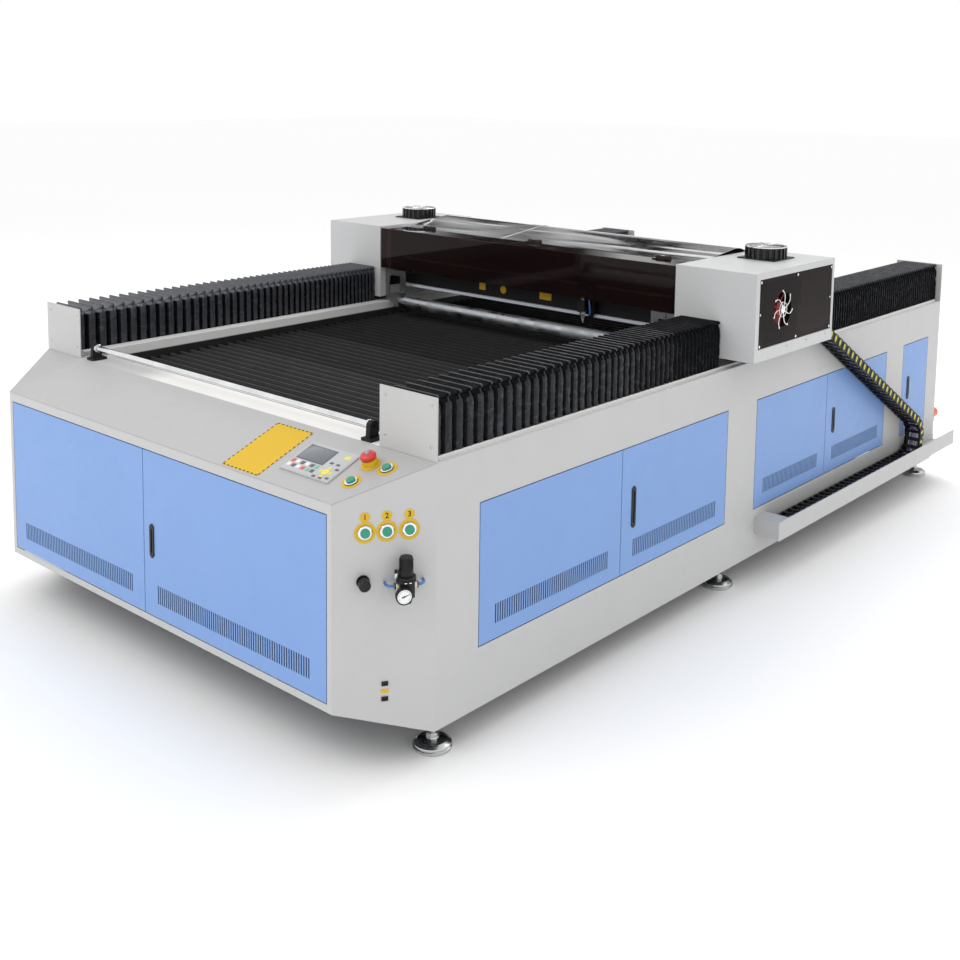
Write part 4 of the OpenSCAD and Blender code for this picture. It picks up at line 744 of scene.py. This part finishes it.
def coverOutline(c, rise, tuck):
    # half of the arch from the outer foot over the shoulder to the middle, then mirrored
    mid = (c["inner"] + c["outer"]) / 2
    half = (c["outer"] - c["inner"]) / 2
    top = c["top"]
    t, s = rise * c["depthTop"], tuck * c["depthSide"]
    flank = [(half - s, c["foot"] + c["flankStep"] * i) for i in range(c["flankRows"])]
    points = flank + [(half - s - 0.8 - 2 * tuck, top - 34), (half - s * 0.8 - 3 - 3 * tuck, top - 26 - 3 * rise),
                      (half - 8 - 0.9 * s, top - 19 - 5 * rise), (half - 9 - 15 * rise, top - 13 - 9 * rise),
                      (half - 1 - 24 * rise, top - 7.5 - t), (half - 0.3 - 26 * rise, top - 4 - t),
                      (half - 3 - 26 * rise, top - 0.8 - t), (half - 8 - 24 * rise, top - t),
                      (half * 0.55, top - t), (half * 0.2, top - t)]
    return [(mid + x, z) for x, z in points] + [(mid - x, z) for x, z in reversed(points)]


def pleatSteps(c, width):
    # one pleat from valley to valley: share of the width, drop of the top, tuck of the flank;
    # a bead runs along the ridge
    b = c["bead"] / width
    rise = [(0.0, 1.0, 1.0), (0.09, 0.88, 0.62), (0.2, 0.72, 0.24), (0.33, 0.5, 0.06), (0.5 - b * 1.2, 0.27, 0.0),
            (0.5 - b, 0.1, 0.0), (0.5 - b * 0.5, 0.02, 0.0)]
    return rise + [(0.5, 0.0, 0.0)] + [(1 - t, r, k) for t, r, k in reversed(rise[1:])]


def nextRow(bm, line, index):
    # the last outline drawn out, its points in the order of the row before, and the faces between
    made = bmesh.ops.extrude_edge_only(bm, edges=line)["geom"]
    fresh = [g for g in made if isinstance(g, bmesh.types.BMVert)]
    line = [g for g in made if isinstance(g, bmesh.types.BMEdge) and all(v in fresh for v in g.verts)]
    order = {v: index[e.other_vert(v)] for v in fresh for e in v.link_edges if e.other_vert(v) in index}
    faces = [g for g in made if isinstance(g, bmesh.types.BMFace)]
    return sorted(fresh, key=lambda v: order[v]), line, faces


def wrinkled(c, x, y, z, side, tuck):
    spot = Vector((x * side, y, z))
    wrinkle = noise.noise(Vector((x * side * 0.02, y * 0.07, z * 0.11))) * (1 - tuck) * 6
    inward = 1 if x > (c["inner"] + c["outer"]) / 2 else -1
    if c["foot"] + 1 < z < c["top"] - 20:
        spot.x -= (abs(wrinkle) + 0.2) * inward * side
    return spot


def coverLength(c, side, stations, first, last):
    # pleats from one station to another as an open sheet: flank 0, bead 1, fold 2 and top 3; the fold slot carries
    # painted shade in the grooves
    bm = bmesh.new()
    verts, line, index = None, None, {}
    rows = [(i, s) for i in range(first, last) for s in pleatSteps(c, stations[i + 1] - stations[i])]
    rows.append((last, (0.0, 1.0, 1.0)))
    lastBead, lastTuck = False, 1
    for i, (t, rise, tuck) in rows:
        bead = rise < 0.12
        width = stations[min(i + 1, len(stations) - 1)] - stations[i]
        y = stations[i] + t * width
        outline = coverOutline(c, rise, tuck)
        if line is None:
            verts = [bm.verts.new((0, 0, 0)) for _ in outline]
            line = [bm.edges.new(pair) for pair in zip(verts, verts[1:])]
        else:
            verts, line, faces = nextRow(bm, line, index)
            for face in faces:
                # groove faces, where the flank tucks in deep, take the fold slot: painted shade
                face.material_index = 1 if bead and lastBead else 2 if max(tuck, lastTuck) > 0.3 else 0
        index = {v: j for j, v in enumerate(verts)}
        for v, (x, z) in zip(verts, outline):
            v.co = wrinkled(c, x, y, z, side, tuck)
        lastBead, lastTuck = bead, tuck
    for face in bm.faces:
        crown = face.calc_center_median().z
        if face.material_index == 1 and crown < c["top"] - 10:
            face.material_index = 0
        # the top faces take slot 3: painted sheen on the left cover, painted shade on the right
        elif face.material_index != 1 and crown > c["top"] - 30:
            face.material_index = 3
    bmesh.ops.recalc_face_normals(bm, faces=bm.faces)
    out = sum(1 if f.normal.z > 0 else -1 for f in bm.faces if abs(f.normal.z) > 0.5)
    if out < 0:
        bmesh.ops.reverse_faces(bm, faces=bm.faces)
    return bm


def coverFinishes(c, end, side, k):
    flank = coverCloth["frontFlank"][side > 0] if end == "front" else coverCloth["rearFlank"]
    names = (flank, "bellowsBead", "bellowsShade", coverCloth["top"][side > 0])
    # the right front cover's lengths past the dusk share darken towards the gantry, flank and bead: painted shade
    if side > 0 and end == "front" and c["shares"][k] > c["duskShare"]:
        names = coverCloth["dusk" if k == c["duskLength"] else "deep"] + names[2:]
    return names


def makeWayCover(c, end, side):
    # twelve lengths, cut where the shares fall along the cover
    (y0, y1), count, first = c[end]
    word = "Right" if side > 0 else "Left"
    stations = pleatStations(y0, y1, count, first)
    cuts = [min(range(count + 1), key=lambda i: abs(stations[i] - y0 - (y1 - y0) * w)) for w in c["shares"]]
    bodies = ("cabinet", "gantry") if end == "front" else ("gantry", "cabinet")
    for k, (a, b) in enumerate(zip(cuts, cuts[1:])):
        if b <= a:
            continue
        bm = coverLength(c, side, stations, a, b)
        area = sum(f.calc_area() for f in bm.faces) * 1e-6
        piece = makePiece("%sCover%s_%d" % (end, word, k + 1), bm, coverFinishes(c, end, side, k), sharp=50,
                          matrix=upright)
        giveWall(piece, c["cloth"])
        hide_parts("bellows_%s_%s" % (end, word.lower()))
        blendStretch(piece, *bodies, stations[a], stations[b], (stations[a] - y0) / (y1 - y0),
                     (stations[b] - y0) / (y1 - y0))


for side in (1, -1):
    for end in ("front", "rear"):
        makeWayCover(wayCover, end, side)
print("way covers made")

# the links of the run in the tray, the bend, and the run that slopes up to the gantry
chain = {"pitch": 46.0, "width": 74.0, "height": 38.0, "lower": 26, "bend": 5, "upper": 24, "x": 1051.0,
         "endGap": 28, "slope": math.radians(30), "lowerShares": [0, 0.02, 0.1, 0.3, 0.7, 0.9, 0.98, 1],
         "upperShares": [0.4, 0.55, 0.7, 0.85, 0.94, 0.985, 1]}
chainZ = machine["tray"] + machine["sheet"] + machine["seat"] + chain["height"] / 2
chainEnd = machine["gantryFront"] + machine["gantryLength"] + chain["endGap"]
linkTurn = (math.pi - chain["slope"]) / chain["bend"]
bendRadius = chain["pitch"] / 2 / math.sin(linkTurn / 2)
upperStart = chainEnd + chain["upper"] * chain["pitch"] * math.cos(chain["slope"])
bendY = upperStart - bendRadius * math.sin(chain["slope"])
fixedY = bendY - chain["lower"] * chain["pitch"]


def addSidePlate(bm, x0, x1, y, thick, half):
    # plate with cut corners in the XZ plane, thick along Y
    centre = ((x0 + x1) / 2, y, 0)
    verts = bmesh.ops.create_cube(bm, size=1, matrix=boxPlace(centre, (x1 - x0, thick, 2 * half)))["verts"]
    across = [e for e in edgesOf(verts) if abs((e.verts[0].co - e.verts[1].co).y) > thick * 0.9]
    bevelEdges(bm, across, 7, 3)


def addOval(bm, centre, size, index):
    before = set(bm.faces)
    bmesh.ops.create_cone(bm, cap_ends=True, segments=14, radius1=1, radius2=1, depth=1,
                          matrix=boxPlace(centre, size) @ Matrix.Rotation(math.pi / 2, 4, "X"))
    markNew(bm, before, index)


def linkMesh(c):
    bm = bmesh.new()
    p, r, w = c["pitch"], c["height"] / 2, c["width"] / 2
    for s in (-1, 1):
        addSidePlate(bm, -p / 2 - 8.5, p / 2 - 14.5, s * (w - 1.5), 3, r)
        addSidePlate(bm, p / 2 - 24, p / 2 + 8.5, s * (w - 5), 3, r - 0.6)
        addBox(bm, (p / 2 - 19, s * (w - 3.4), 0), (8, 2, 2 * r - 6))
        addOval(bm, (-7, s * (w - 0.1), 0), (7.5, 1.6, 13.5), 1)
        addDisc(bm, (-p / 2, s * (w - 0.2), 0), 6, 1.2, "Y", 16)
    for z in (-r + 3, r - 3):
        addBox(bm, (-1, 0, z), (15, 2 * w - 8, 4.4), 1.6)
        addBox(bm, (-1, 0, z * 0.97), (7, 2 * w - 22, 6.4), 1.4, 0, 1)
    for s in (-1, 1):
        addBox(bm, (-1, s * (w - 4), 0), (13, 2.4, 2 * r - 3))
    mesh = bpy.data.meshes.new("linkStore")
    bm.to_mesh(mesh)
    bm.free()
    return mesh


def addLink(bm, matrix):
    one = bmesh.new()
    one.from_mesh(linkStore)
    bmesh.ops.transform(one, matrix=matrix, verts=one.verts)
    mesh = bpy.data.meshes.new("oneLink")
    one.to_mesh(mesh)
    one.free()
    bm.from_mesh(mesh)
    bpy.data.meshes.remove(mesh)


linkStore = linkMesh(chain)


def linkPlace(y, z, turn):
    return Matrix.Translation((chain["x"], y, chainZ + z)) @ Matrix.Rotation(turn, 4, "X") @ turnZ(math.pi / 2)


def lowerLinkPlace(i):
    return linkPlace(fixedY + (i + 0.5) * chain["pitch"], 0, 0)


def bendLinkPlace(i):
    a = (i + 0.5) * linkTurn
    reach = bendRadius * math.cos(linkTurn / 2)
    return linkPlace(bendY + reach * math.sin(a), bendRadius - reach * math.cos(a), a)


def upperLinkPlace(i):
    s = (i + 0.5) * chain["pitch"]
    rise, run = math.sin(chain["slope"]), math.cos(chain["slope"])
    return linkPlace(bendY + bendRadius * rise - s * run, bendRadius + bendRadius * run + s * rise,
                     math.pi - chain["slope"])


# across the link, height, radius and finish of each cable
cables = {"lanes": ((-22, -4, 7.5, 2), (-5, 3, 8.5, 1), (13, -4, 6.5, 2), (25, 3, 5, 0)),
          "finishes": ["blackPlastic", "cableGrey", "cableViolet", "blackPlastic"]}


def addCables(bm, places):
    for x, z, radius, index in cables["lanes"]:
        points = [m @ Vector((along, x, z)) for m in places for along in (-chain["pitch"] / 2, 0)]
        points.append(places[-1] @ Vector((chain["pitch"] / 2, x, z)))
        tubeAlong(bm, points, radius, 8, index)


def chainPieces(linksName, cablesName, places, body=None):
    links = bmesh.new()
    for m in places:
        addLink(links, m)
    leads = bmesh.new()
    addCables(leads, places)
    pair = (makePiece(linksName, links, ["chainPlastic", "lemonPlastic"], body, matrix=upright),
            makePiece(cablesName, leads, cables["finishes"], body, 60, upright))
    return pair


def makeChainRun(name, node, places, shares, ends, bodies):
    def along(share):
        return ends[0] + (ends[1] - ends[0]) * (share - shares[0]) / (shares[-1] - shares[0])

    for k, (w0, w1) in enumerate(zip(shares, shares[1:])):
        y0, y1 = along(w0), along(w1)
        inside = [m for m in places if min(y0, y1) <= m.translation.y < max(y0, y1)]
        if not inside:
            continue
        pair = chainPieces("%s_%d" % (name, k + 1), "%sCables_%d" % (name, k + 1), inside)
        for one in pair:
            blendStretch(one, *bodies, y0, y1, w0, w1)
        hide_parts(node)


makeChainRun("chainLower", "chain_lower_run", [lowerLinkPlace(i) for i in range(chain["lower"])],
             chain["lowerShares"], (fixedY, bendY), ("cabinet", "chain_bend"))
makeChainRun("chainUpper", "chain_upper_run", [upperLinkPlace(i) for i in range(chain["upper"])],
             chain["upperShares"], (upperStart, chainEnd), ("cabinet", "gantry"))
bendPair = chainPieces("chainBendLinks", "chainBendCables", [bendLinkPlace(i) for i in range(chain["bend"])],
                       "chain_bend")
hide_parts("chain_bend")
bpy.data.meshes.remove(linkStore)
print("cable chain made")

keypadLook = {"place": (664, 118), "size": (200, 132), "screen": (-33, 21, 106, 58), "screenEdge": 8,
              "rows": 2, "columns": 6, "firstKey": (-84, -24), "keyStep": (19.5, 19), "key": (14, 13, 1.4),
              "colours": {(0, 0): 5, (0, 5): 6, (1, 3): 5, (1, 4): 6}, "hub": (58, -32), "hubRadius": 13,
              "arrowReach": 19, "softKeys": ((44, 6), (70, 6), (36, -58), (62, -58), (84, -52), (84, -12)),
              "badge": (72, 42),
              "finishes": ["keypadFilm", "keyDark", "screenGlass", "keyWhite", "keyDark", "keyRed", "keyGreen",
                           "keyYellow"]}


def makeKeypad(k):
    bm = bmesh.new()
    w, h = k["size"]
    addBox(bm, (0, 0, 4.5), (w - 6, h - 6, 1.2), 0.5)
    x, y, sw, sh = k["screen"]
    addBox(bm, (x, y, 5.0), (sw + k["screenEdge"], sh + k["screenEdge"], 1.0), 0.4, 1)
    addBox(bm, (x, y, 5.5), (sw, sh, 0.8), 0.3, 2)
    # two rows of keys below the screen
    for row in range(k["rows"]):
        for col in range(k["columns"]):
            spot = (k["firstKey"][0] + col * k["keyStep"][0], k["firstKey"][1] - row * k["keyStep"][1], 5.4)
            addBox(bm, spot, k["key"], 0.6, k["colours"].get((row, col), 3 if (row + col) % 2 else 4))
    # direction keys round a yellow hub
    addDisc(bm, (*k["hub"], 5.6), k["hubRadius"], 1.8, "Z", 28, 7, 0.5)
    for quarter in range(4):
        arrow = Vector((*k["hub"], 0)) + Vector(polar(k["arrowReach"], quarter * math.pi / 2, 5.4))
        addBox(bm, arrow, (9, 9, 1.3), 0.5, 7)
    for x, y in k["softKeys"]:
        addBox(bm, (x, y, 5.4), (13, 8, 1.3), 0.5, 4)
    addBox(bm, (*k["badge"], 4.9), (20, 15, 0.8), 0.2, 7)
    piece = makePiece("keypadFace", bm, k["finishes"], "cabinet", matrix=onDeck(*k["place"]))


makeKeypad(keypadLook)

# left, right, front and rear edge on the deck, and the dashes along its long side
instructionPlate = {"corner": (365, 527, 7, 212), "dashes": 13, "inset": 2.4, "dashWidth": 4.2, "dashShare": 0.5}


def makeInstructionPlate(c):
    x0, x1, y0, y1 = c["corner"]
    tall = (y1 - y0) / math.cos(deckTilt)
    wide = x1 - x0
    bm = bmesh.new()
    addBox(bm, (0, 0, 0.45), (wide, tall, 0.7), 0.15, 0, 1)
    step = tall / c["dashes"]
    for i in range(c["dashes"]):
        for s in (-1, 1):
            addBox(bm, (s * (wide / 2 - c["inset"]), -tall / 2 + (i + 0.5) * step, 0.85),
                   (c["dashWidth"], step * c["dashShare"], 0.14), 0, 1)
    across = int(c["dashes"] * wide / tall)
    step = wide / across
    for i in range(across):
        for s in (-1, 1):
            addBox(bm, (-wide / 2 + (i + 0.5) * step, s * (tall / 2 - c["inset"]), 0.85),
                   (step * c["dashShare"], c["dashWidth"], 0.14), 0, 1)
    piece = makePiece("deckPlate", bm, ["yellowCard", "inkBlack"], "cabinet",
                      matrix=onDeck((x0 + x1) / 2, (y0 + y1) / 2))


makeInstructionPlate(instructionPlate)

numberDiscs = {"along": (88, 147, 208), "height": 714, "radius": 14, "size": 21, "lift": 1.1}


def digitMesh(c, digit):
    text = bpy.data.curves.new("digit" + digit, "FONT")
    text.body, text.size, text.extrude, text.offset = digit, c["size"], 0.15, 0.3
    text.align_x, text.align_y = "CENTER", "CENTER"
    holder = bpy.data.objects.new("digitHolder", text)
    scene.collection.objects.link(holder)
    bpy.context.view_layer.update()
    mesh = bpy.data.meshes.new_from_object(holder.evaluated_get(bpy.context.evaluated_depsgraph_get()))
    mesh.transform(Matrix.Translation((0, 0, c["lift"])))
    mesh.polygons.foreach_set("material_index", [1] * len(mesh.polygons))
    bpy.data.objects.remove(holder)
    return mesh


def makeNumberDiscs(c):
    for i, along in enumerate(c["along"]):
        bm = bmesh.new()
        addDisc(bm, (0, 0, 0.5), c["radius"], 0.9, "Z", 36, 0, 0.2)
        addBox(bm, (0, -c["radius"] - 2, 0.4), (5, 8, 0.6), 0.1)
        count = len(bm.faces)
        bm.from_mesh(digitMesh(c, str(i + 1)))
        bm.faces.ensure_lookup_table()
        for face in bm.faces[count:]:
            face.material_index = 1
        piece = makePiece("numberDisc%d" % (i + 1), bm, ["yellowCard", "inkBlack"], "cabinet",
                          matrix=onPanel(along, c["height"]))


makeNumberDiscs(numberDiscs)

smallMarks = {"stop": (819, 164), "curbTag": (-776.7, 430, 859), "portLabel": (143, 225),
              "stopOutline": [(0, 42.2), (5.4, 42.2), (6.6, 41.6), (7.4, 37.6), (7.4, 36.9)]}


def makeSmallMarks(c):
    bm = bmesh.new()
    addTurned(bm, c["stopOutline"], 28)
    makePiece("stopCentre", bm, "cableGrey", "emergency_stop", matrix=onDeck(*c["stop"]))
    bm = bmesh.new()
    addBox(bm, c["curbTag"], (0.6, 26, 14), 0.15)
    makePiece("curbTag", bm, "orangePlastic", "cabinet", matrix=upright)
    bm = bmesh.new()
    addBox(bm, (0, 0, 0.4), (22, 11, 0.6), 0.15)
    makePiece("portLabel", bm, "yellowCard", "cabinet", matrix=onPanel(*c["portLabel"]))


makeSmallMarks(smallMarks)
print("controls made")

# sizes from the regulator's place on the panel; its body's axis stands out from the panel
regulator = {"place": (193, 566), "out": 34, "gauge": (-12, -50, 18.3), "dial": 19.5, "ticks": 22, "sweep": 260,
             "hand": -70, "knob": -7, "ribs": 28, "ribRadius": 18.0, "rib": (1.6, 1.5, 36), "ribMiddle": 28,
             "port": (27, -35),
             "case": [(19.3, 20.3), (19.3, 22.4), (20.4, 23.2), (22.4, 22.6), (23.1, 20.5), (23.1, 8.0), (22.3, 6.6),
                      (22.1, 6.8)],
             "collar": [(19.0, -16), (25.8, -16), (27.2, -14.6), (27.2, -9), (25.6, -8.2), (25.6, -6.6), (26.8, -6),
                        (26.8, -1.6), (25.0, -0.4), (19.0, -0.4)],
             "fitting": [(9.2, -7), (10.4, -6.5), (10.4, 1.5), (8, 3), (7.2, 5.2), (4.4, 5.2)]}


def onRegulator(r, x, y, z=0.0):
    return onPanel(*r["place"]) @ Matrix.Translation((x, y, r["out"] + z))


def makeGaugeFace(r):
    matrix = onRegulator(r, *r["gauge"])
    bm = bmesh.new()
    addDisc(bm, (0, 0, 20.4), r["dial"] - 0.6, 0.5, "Z", 40)
    for i in range(r["ticks"]):
        angle = math.radians(-r["sweep"] / 2 + r["sweep"] * i / (r["ticks"] - 1))
        size = (0.7, 3.4 if i % 5 == 0 else 1.9, 0.2)
        addBar(bm, turnZ(angle) @ Matrix.Translation((0, r["dial"] - 4, 20.8)), size, 1)
    before = set(bm.faces)
    lay = Matrix.Rotation(-math.pi / 2, 4, "X") @ Matrix.Scale(0.35, 4, (0, 1, 0))
    bmesh.ops.create_cone(bm, cap_ends=True, segments=3, radius1=2.0, radius2=0.5, depth=24,
                          matrix=turnZ(math.radians(r["hand"])) @ Matrix.Translation((0, 5, 21.2)) @ lay)
    markNew(bm, before, 1)
    addDisc(bm, (0, 0, 21.3), 2.2, 1.2, "Z", 16, 1)
    makePiece("gaugeFace", bm, ["dialWhite", "inkBlack"], "cabinet", matrix=matrix)
    bm = bmesh.new()
    addTurned(bm, r["case"], 48)
    makePiece("gaugeCase", bm, "blackPlastic", "cabinet", matrix=matrix)


def makeBonnet(r):
    matrix = onRegulator(r, 0, r["knob"]) @ Matrix.Rotation(-math.pi / 2, 4, "X")
    bm = bmesh.new()
    for i in range(r["ribs"]):
        spot = Matrix.Translation((r["ribRadius"], 0, r["ribMiddle"]))
        addBar(bm, turnZ(2 * math.pi * i / r["ribs"]) @ spot, r["rib"])
    makePiece("knobRibs", bm, "blackPlastic", "regulator_knob", matrix=matrix)
    bm = bmesh.new()
    addTurned(bm, r["collar"], 44, 0, matrix)
    makePiece("bonnetCollar", bm, "blackPlastic", "cabinet")


def makeBodyParts(r):
    bm = bmesh.new()
    addBox(bm, (-29, -4, 40), (8, 17, 6), 1.5)
    addDisc(bm, (-29, 8, 40), 5.5, 7, "X", 20, 2, 0.8)
    # two pale marks on the front of the collar: painted glints
    for x in (-6, 6):
        addBox(bm, (x, -19.5, r["out"] + 26.4), (7, 2.2, 1.2), 0.3, 1)
    makePiece("bodyTagsAndGlints", bm, ["zinc", "dialWhite", "blackPlastic"], "cabinet", matrix=onPanel(*r["place"]))
    bm = bmesh.new()
    x, y = r["port"]
    for s in (-1, 1):
        addTurned(bm, r["fitting"], 6, 0, onRegulator(r, s * x, y) @ Matrix.Rotation(s * math.pi / 2, 4, "Y"))
    makePiece("portCollars", bm, "brassFitting", "cabinet")


makeGaugeFace(regulator)
makeBonnet(regulator)
makeBodyParts(regulator)
print("regulator made")

# places of the screws, and each head's radius and height
screwSets = {"plateX": (800, 978), "plateZ": (888, 1001), "plateFront": 236, "plateRear": 3700, "plateHead": (4.6, 2.4),
             "boxY": (240, 392, 548), "box": (1113, 919), "boxHead": (6.0, 3),
             "windowY": (1754, 2292), "window": (1110.4, 1058), "windowHead": (4.2, 2.4)}


def addScrew(bm, matrix, radius, height):
    addTurned(bm, [(0, height * 0.55), (radius * 0.28, height * 0.55), (radius * 0.34, height),
                   (radius * 0.8, height * 0.86), (radius, height * 0.35), (radius, 0)], 16, 0, matrix)


def makeScrews(c):
    up = (0, 0, 1)
    bm = bmesh.new()
    for sx in (-1, 1):
        for x in c["plateX"]:
            for z in c["plateZ"]:
                addScrew(bm, place((sx * x, c["plateFront"], z), (1, 0, 0), up, (0, -1, 0)), *c["plateHead"])
                addScrew(bm, place((sx * x, c["plateRear"], z), (-1, 0, 0), up, (0, 1, 0)), *c["plateHead"])
    makePiece("endPlateScrews", bm, "zinc", "cabinet")
    bm = bmesh.new()
    x, z = c["box"]
    for sx in (-1, 1):
        for y in c["boxY"]:
            spot = (sx * x, machine["gantryFront"] + y, z)
            addScrew(bm, place(spot, (0, sx, 0), up, (sx, 0, 0)), *c["boxHead"])
    makePiece("boxScrews", bm, "zinc", "gantry")
    bm = bmesh.new()
    x, z = c["window"]
    for sx in (-1, 1):
        for y in c["windowY"]:
            addScrew(bm, place((sx * x, y, z), (0, sx, 0), up, (sx, 0, 0)), *c["windowHead"])
    makePiece("windowScrews", bm, "chrome", "gantry")


makeScrews(screwSets)

# dark screens behind the vent slots
ventScreens = {"depth": 2.8, "thick": 0.8, "frontZ": (243, 305), "sideZ": (316, 378),
               "front": (("leftVentScreen", "front_door_left", -761, -91.5),
                         ("rightVentScreen", "front_door_right", 35.5, 761)),
               "bays": ((1, 475, 1033.5), (2, 1160.5, 1688), (3, 2025, 2474.5), (4, 2601.5, 3050))}


def makeVentScreens(c):
    z0, z1 = c["frontZ"]
    for name, body, x0, x1 in c["front"]:
        bm = bmesh.new()
        addBox(bm, ((x0 + x1) / 2, c["depth"], (z0 + z1) / 2), (x1 - x0, c["thick"], z1 - z0))
        makePiece(name, bm, "inkBlack", body, matrix=upright)
    z0, z1 = c["sideZ"]
    for sx, word in ((1, "right"), (-1, "left")):
        for n, y0, y1 in c["bays"]:
            body = "cabinet" if sx > 0 and n == 4 else "%s_door_%d" % (word, n)
            bm = bmesh.new()
            spot = (sx * (machine["halfWidth"] - c["depth"]), (y0 + y1) / 2, (z0 + z1) / 2)
            addBox(bm, spot, (c["thick"], y1 - y0, z1 - z0))
            makePiece("%sBay%dScreen" % (word, n), bm, "inkBlack", body, matrix=upright)


makeVentScreens(ventScreens)
print("vent screens made")

# cooling drums on the end boxes, with a wire guard over each fan
drumLook = {"x": 928, "y": 2112, "z": 1207.3, "radius": 75, "height": 46, "ribs": 22, "ribWidth": 9,
            "rings": (22, 36, 50, 62), "wire": 1.3, "spokes": 4, "spokeReach": (12, 72), "spokeWire": 1.8, "hub": 14,
            "rim": [(-7, 0.2), (-7, 2.6), (2, 2.6), (3, 1.4), (3, -1.5), (0.3, -1.5)]}


def makeFanTrim(c):
    high, wide = c["height"], c["radius"]
    for sx, word in ((1, "Right"), (-1, "Left")):
        matrix = place((sx * c["x"], c["y"], c["z"]), (1, 0, 0), (0, 1, 0), (0, 0, 1))
        bm = bmesh.new()
        for i in range(c["ribs"]):
            spot = Matrix.Translation((wide - 0.2, 0, high / 2))
            addBar(bm, turnZ(2 * math.pi * i / c["ribs"]) @ spot, (c["ribWidth"], c["ribWidth"], high - 6))
        makePiece("drumRibs" + word, bm, "glossBlack", "gantry", matrix=matrix)
        bm = bmesh.new()
        addTurned(bm, [(wide + r, high + z) for r, z in c["rim"]], 56)
        for ring in c["rings"]:
            addRing(bm, ring, high + 3.4, c["wire"])
        near, far = c["spokeReach"]
        for k in range(c["spokes"]):
            a = math.pi / 4 + 2 * math.pi * k / c["spokes"]
            tubeAlong(bm, [polar(near, a, high + 4.6), polar(far, a, high + 3.4)], c["spokeWire"], 6)
        addDisc(bm, (0, 0, high + 3.6), c["hub"], 2, "Z", 24)
        makePiece("drumGuard" + word, bm, "chrome", "gantry", matrix=matrix)


makeFanTrim(drumLook)

# guard of the fan behind the right window: reach, turn and height along a curved arm
sideGuard = {"place": (1110.6, 1918, 1058), "ring": 27, "ringWire": 1.2, "arms": 7, "firstArm": 0.35, "reach": 69,
             "arm": ((9, 0, 2.4), (26, 0.02, 2.4), (46, 0.1, 2.4), (60, 0.24, 2.2), (69, 0.42, 1.6)), "armWire": 2.0,
             "footTurn": 0.42, "hub": [(0, 5.0), (7, 4.8), (13, 3.6), (14.5, 1.6), (14.5, 0.6)]}


def makeSideGuard(c):
    bm = bmesh.new()
    addRing(bm, c["ring"], 1.8, c["ringWire"])
    for k in range(c["arms"]):
        a = 2 * math.pi * k / c["arms"] + c["firstArm"]
        path = [polar(r, a + turn, h) for r, turn, h in c["arm"]]
        tubeAlong(bm, smoothPath(path, 3), c["armWire"], 8)
        addDisc(bm, polar(c["reach"], a + c["footTurn"], 1.2), 4.2, 2.2, "Z", 12)
    addTurned(bm, c["hub"], 28)
    makePiece("sideGuard", bm, "chrome", "gantry", matrix=place(c["place"], (0, 1, 0), (0, 0, 1), (1, 0, 0)))


makeSideGuard(sideGuard)
print("fans made")

# tags have a width, or none for the round one; the hose is drawn from the head's middle
gantryLook = {"tagFace": (1807.2, 990), "tags": ((-245, 34), (-128, 0), (100, 62)), "roundTag": 16, "tagHeight": 28,
              "head": (325, 1767), "hoseRadius": 3.4, "hoseBlend": (960, 1036),
              "hose": ((24, 0, 952), (30, 0, 954), (34, -2, 962), (34, -3, 980), (30, -2, 1000), (26, 0, 1020),
                       (24, 4, 1040)),
              "board": ((1062, 1935, 1060), (2, 370, 226)), "strip": ((1070, 1850, 1160), (14, 180, 26)),
              "chips": ((1800, 1120, 46, 60, 22), (2060, 1100, 70, 90, 28), (2040, 990, 90, 40, 16),
                        (1930, 985, 60, 30, 18)),
              "rod": (718, 1748), "rodZ": (1000, 1082), "rodFoot": 998}


def makeBandTags(c):
    y, z = c["tagFace"]
    bm = bmesh.new()
    for x, wide in c["tags"]:
        if wide:
            addBox(bm, (x, y, z), (wide, 0.8, c["tagHeight"]), 0.2)
        else:
            addDisc(bm, (x, y, z), c["roundTag"], 0.8, "Y", 28)
    makePiece("bandTags", bm, "yellowCard", "gantry", matrix=upright)


def makeNozzleHose(c):
    # air hose from the nozzle up to the carriage
    x, y = c["head"]
    bm = bmesh.new()
    path = [(x + dx, y + dy, z) for dx, dy, z in c["hose"]]
    tubeAlong(bm, smoothPath(path, 4), c["hoseRadius"], 10)
    hose = makePiece("nozzleHose", bm, "hoseBlue", matrix=upright)
    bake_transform(hose)


def makeDriverBoard(c):
    # driver board standing behind the right window
    bm = bmesh.new()
    face = c["board"][0][0]
    addBox(bm, *c["board"])
    for y, z, w, h, d in c["chips"]:
        addBox(bm, (face + d / 2, y, z), (d, w, h), 1, 1, 1)
    addBox(bm, *c["strip"], 1, 2, 1)
    makePiece("driverBoard", bm, ["boardGreen", "castBlack", "fanRed"], "gantry", matrix=upright)


def makeGuideRod(c):
    # thin guide rod beside the right end frame
    bm = bmesh.new()
    tubeAlong(bm, [(*c["rod"], z) for z in c["rodZ"]], 2.4, 8)
    addDisc(bm, (*c["rod"], c["rodFoot"]), 5, 8, "Z", 16)
    makePiece("guideRod", bm, "zinc", "gantry", matrix=upright)


for makeDetail in (makeBandTags, makeNozzleHose, makeDriverBoard, makeGuideRod):
    makeDetail(gantryLook)
print("gantry details made")
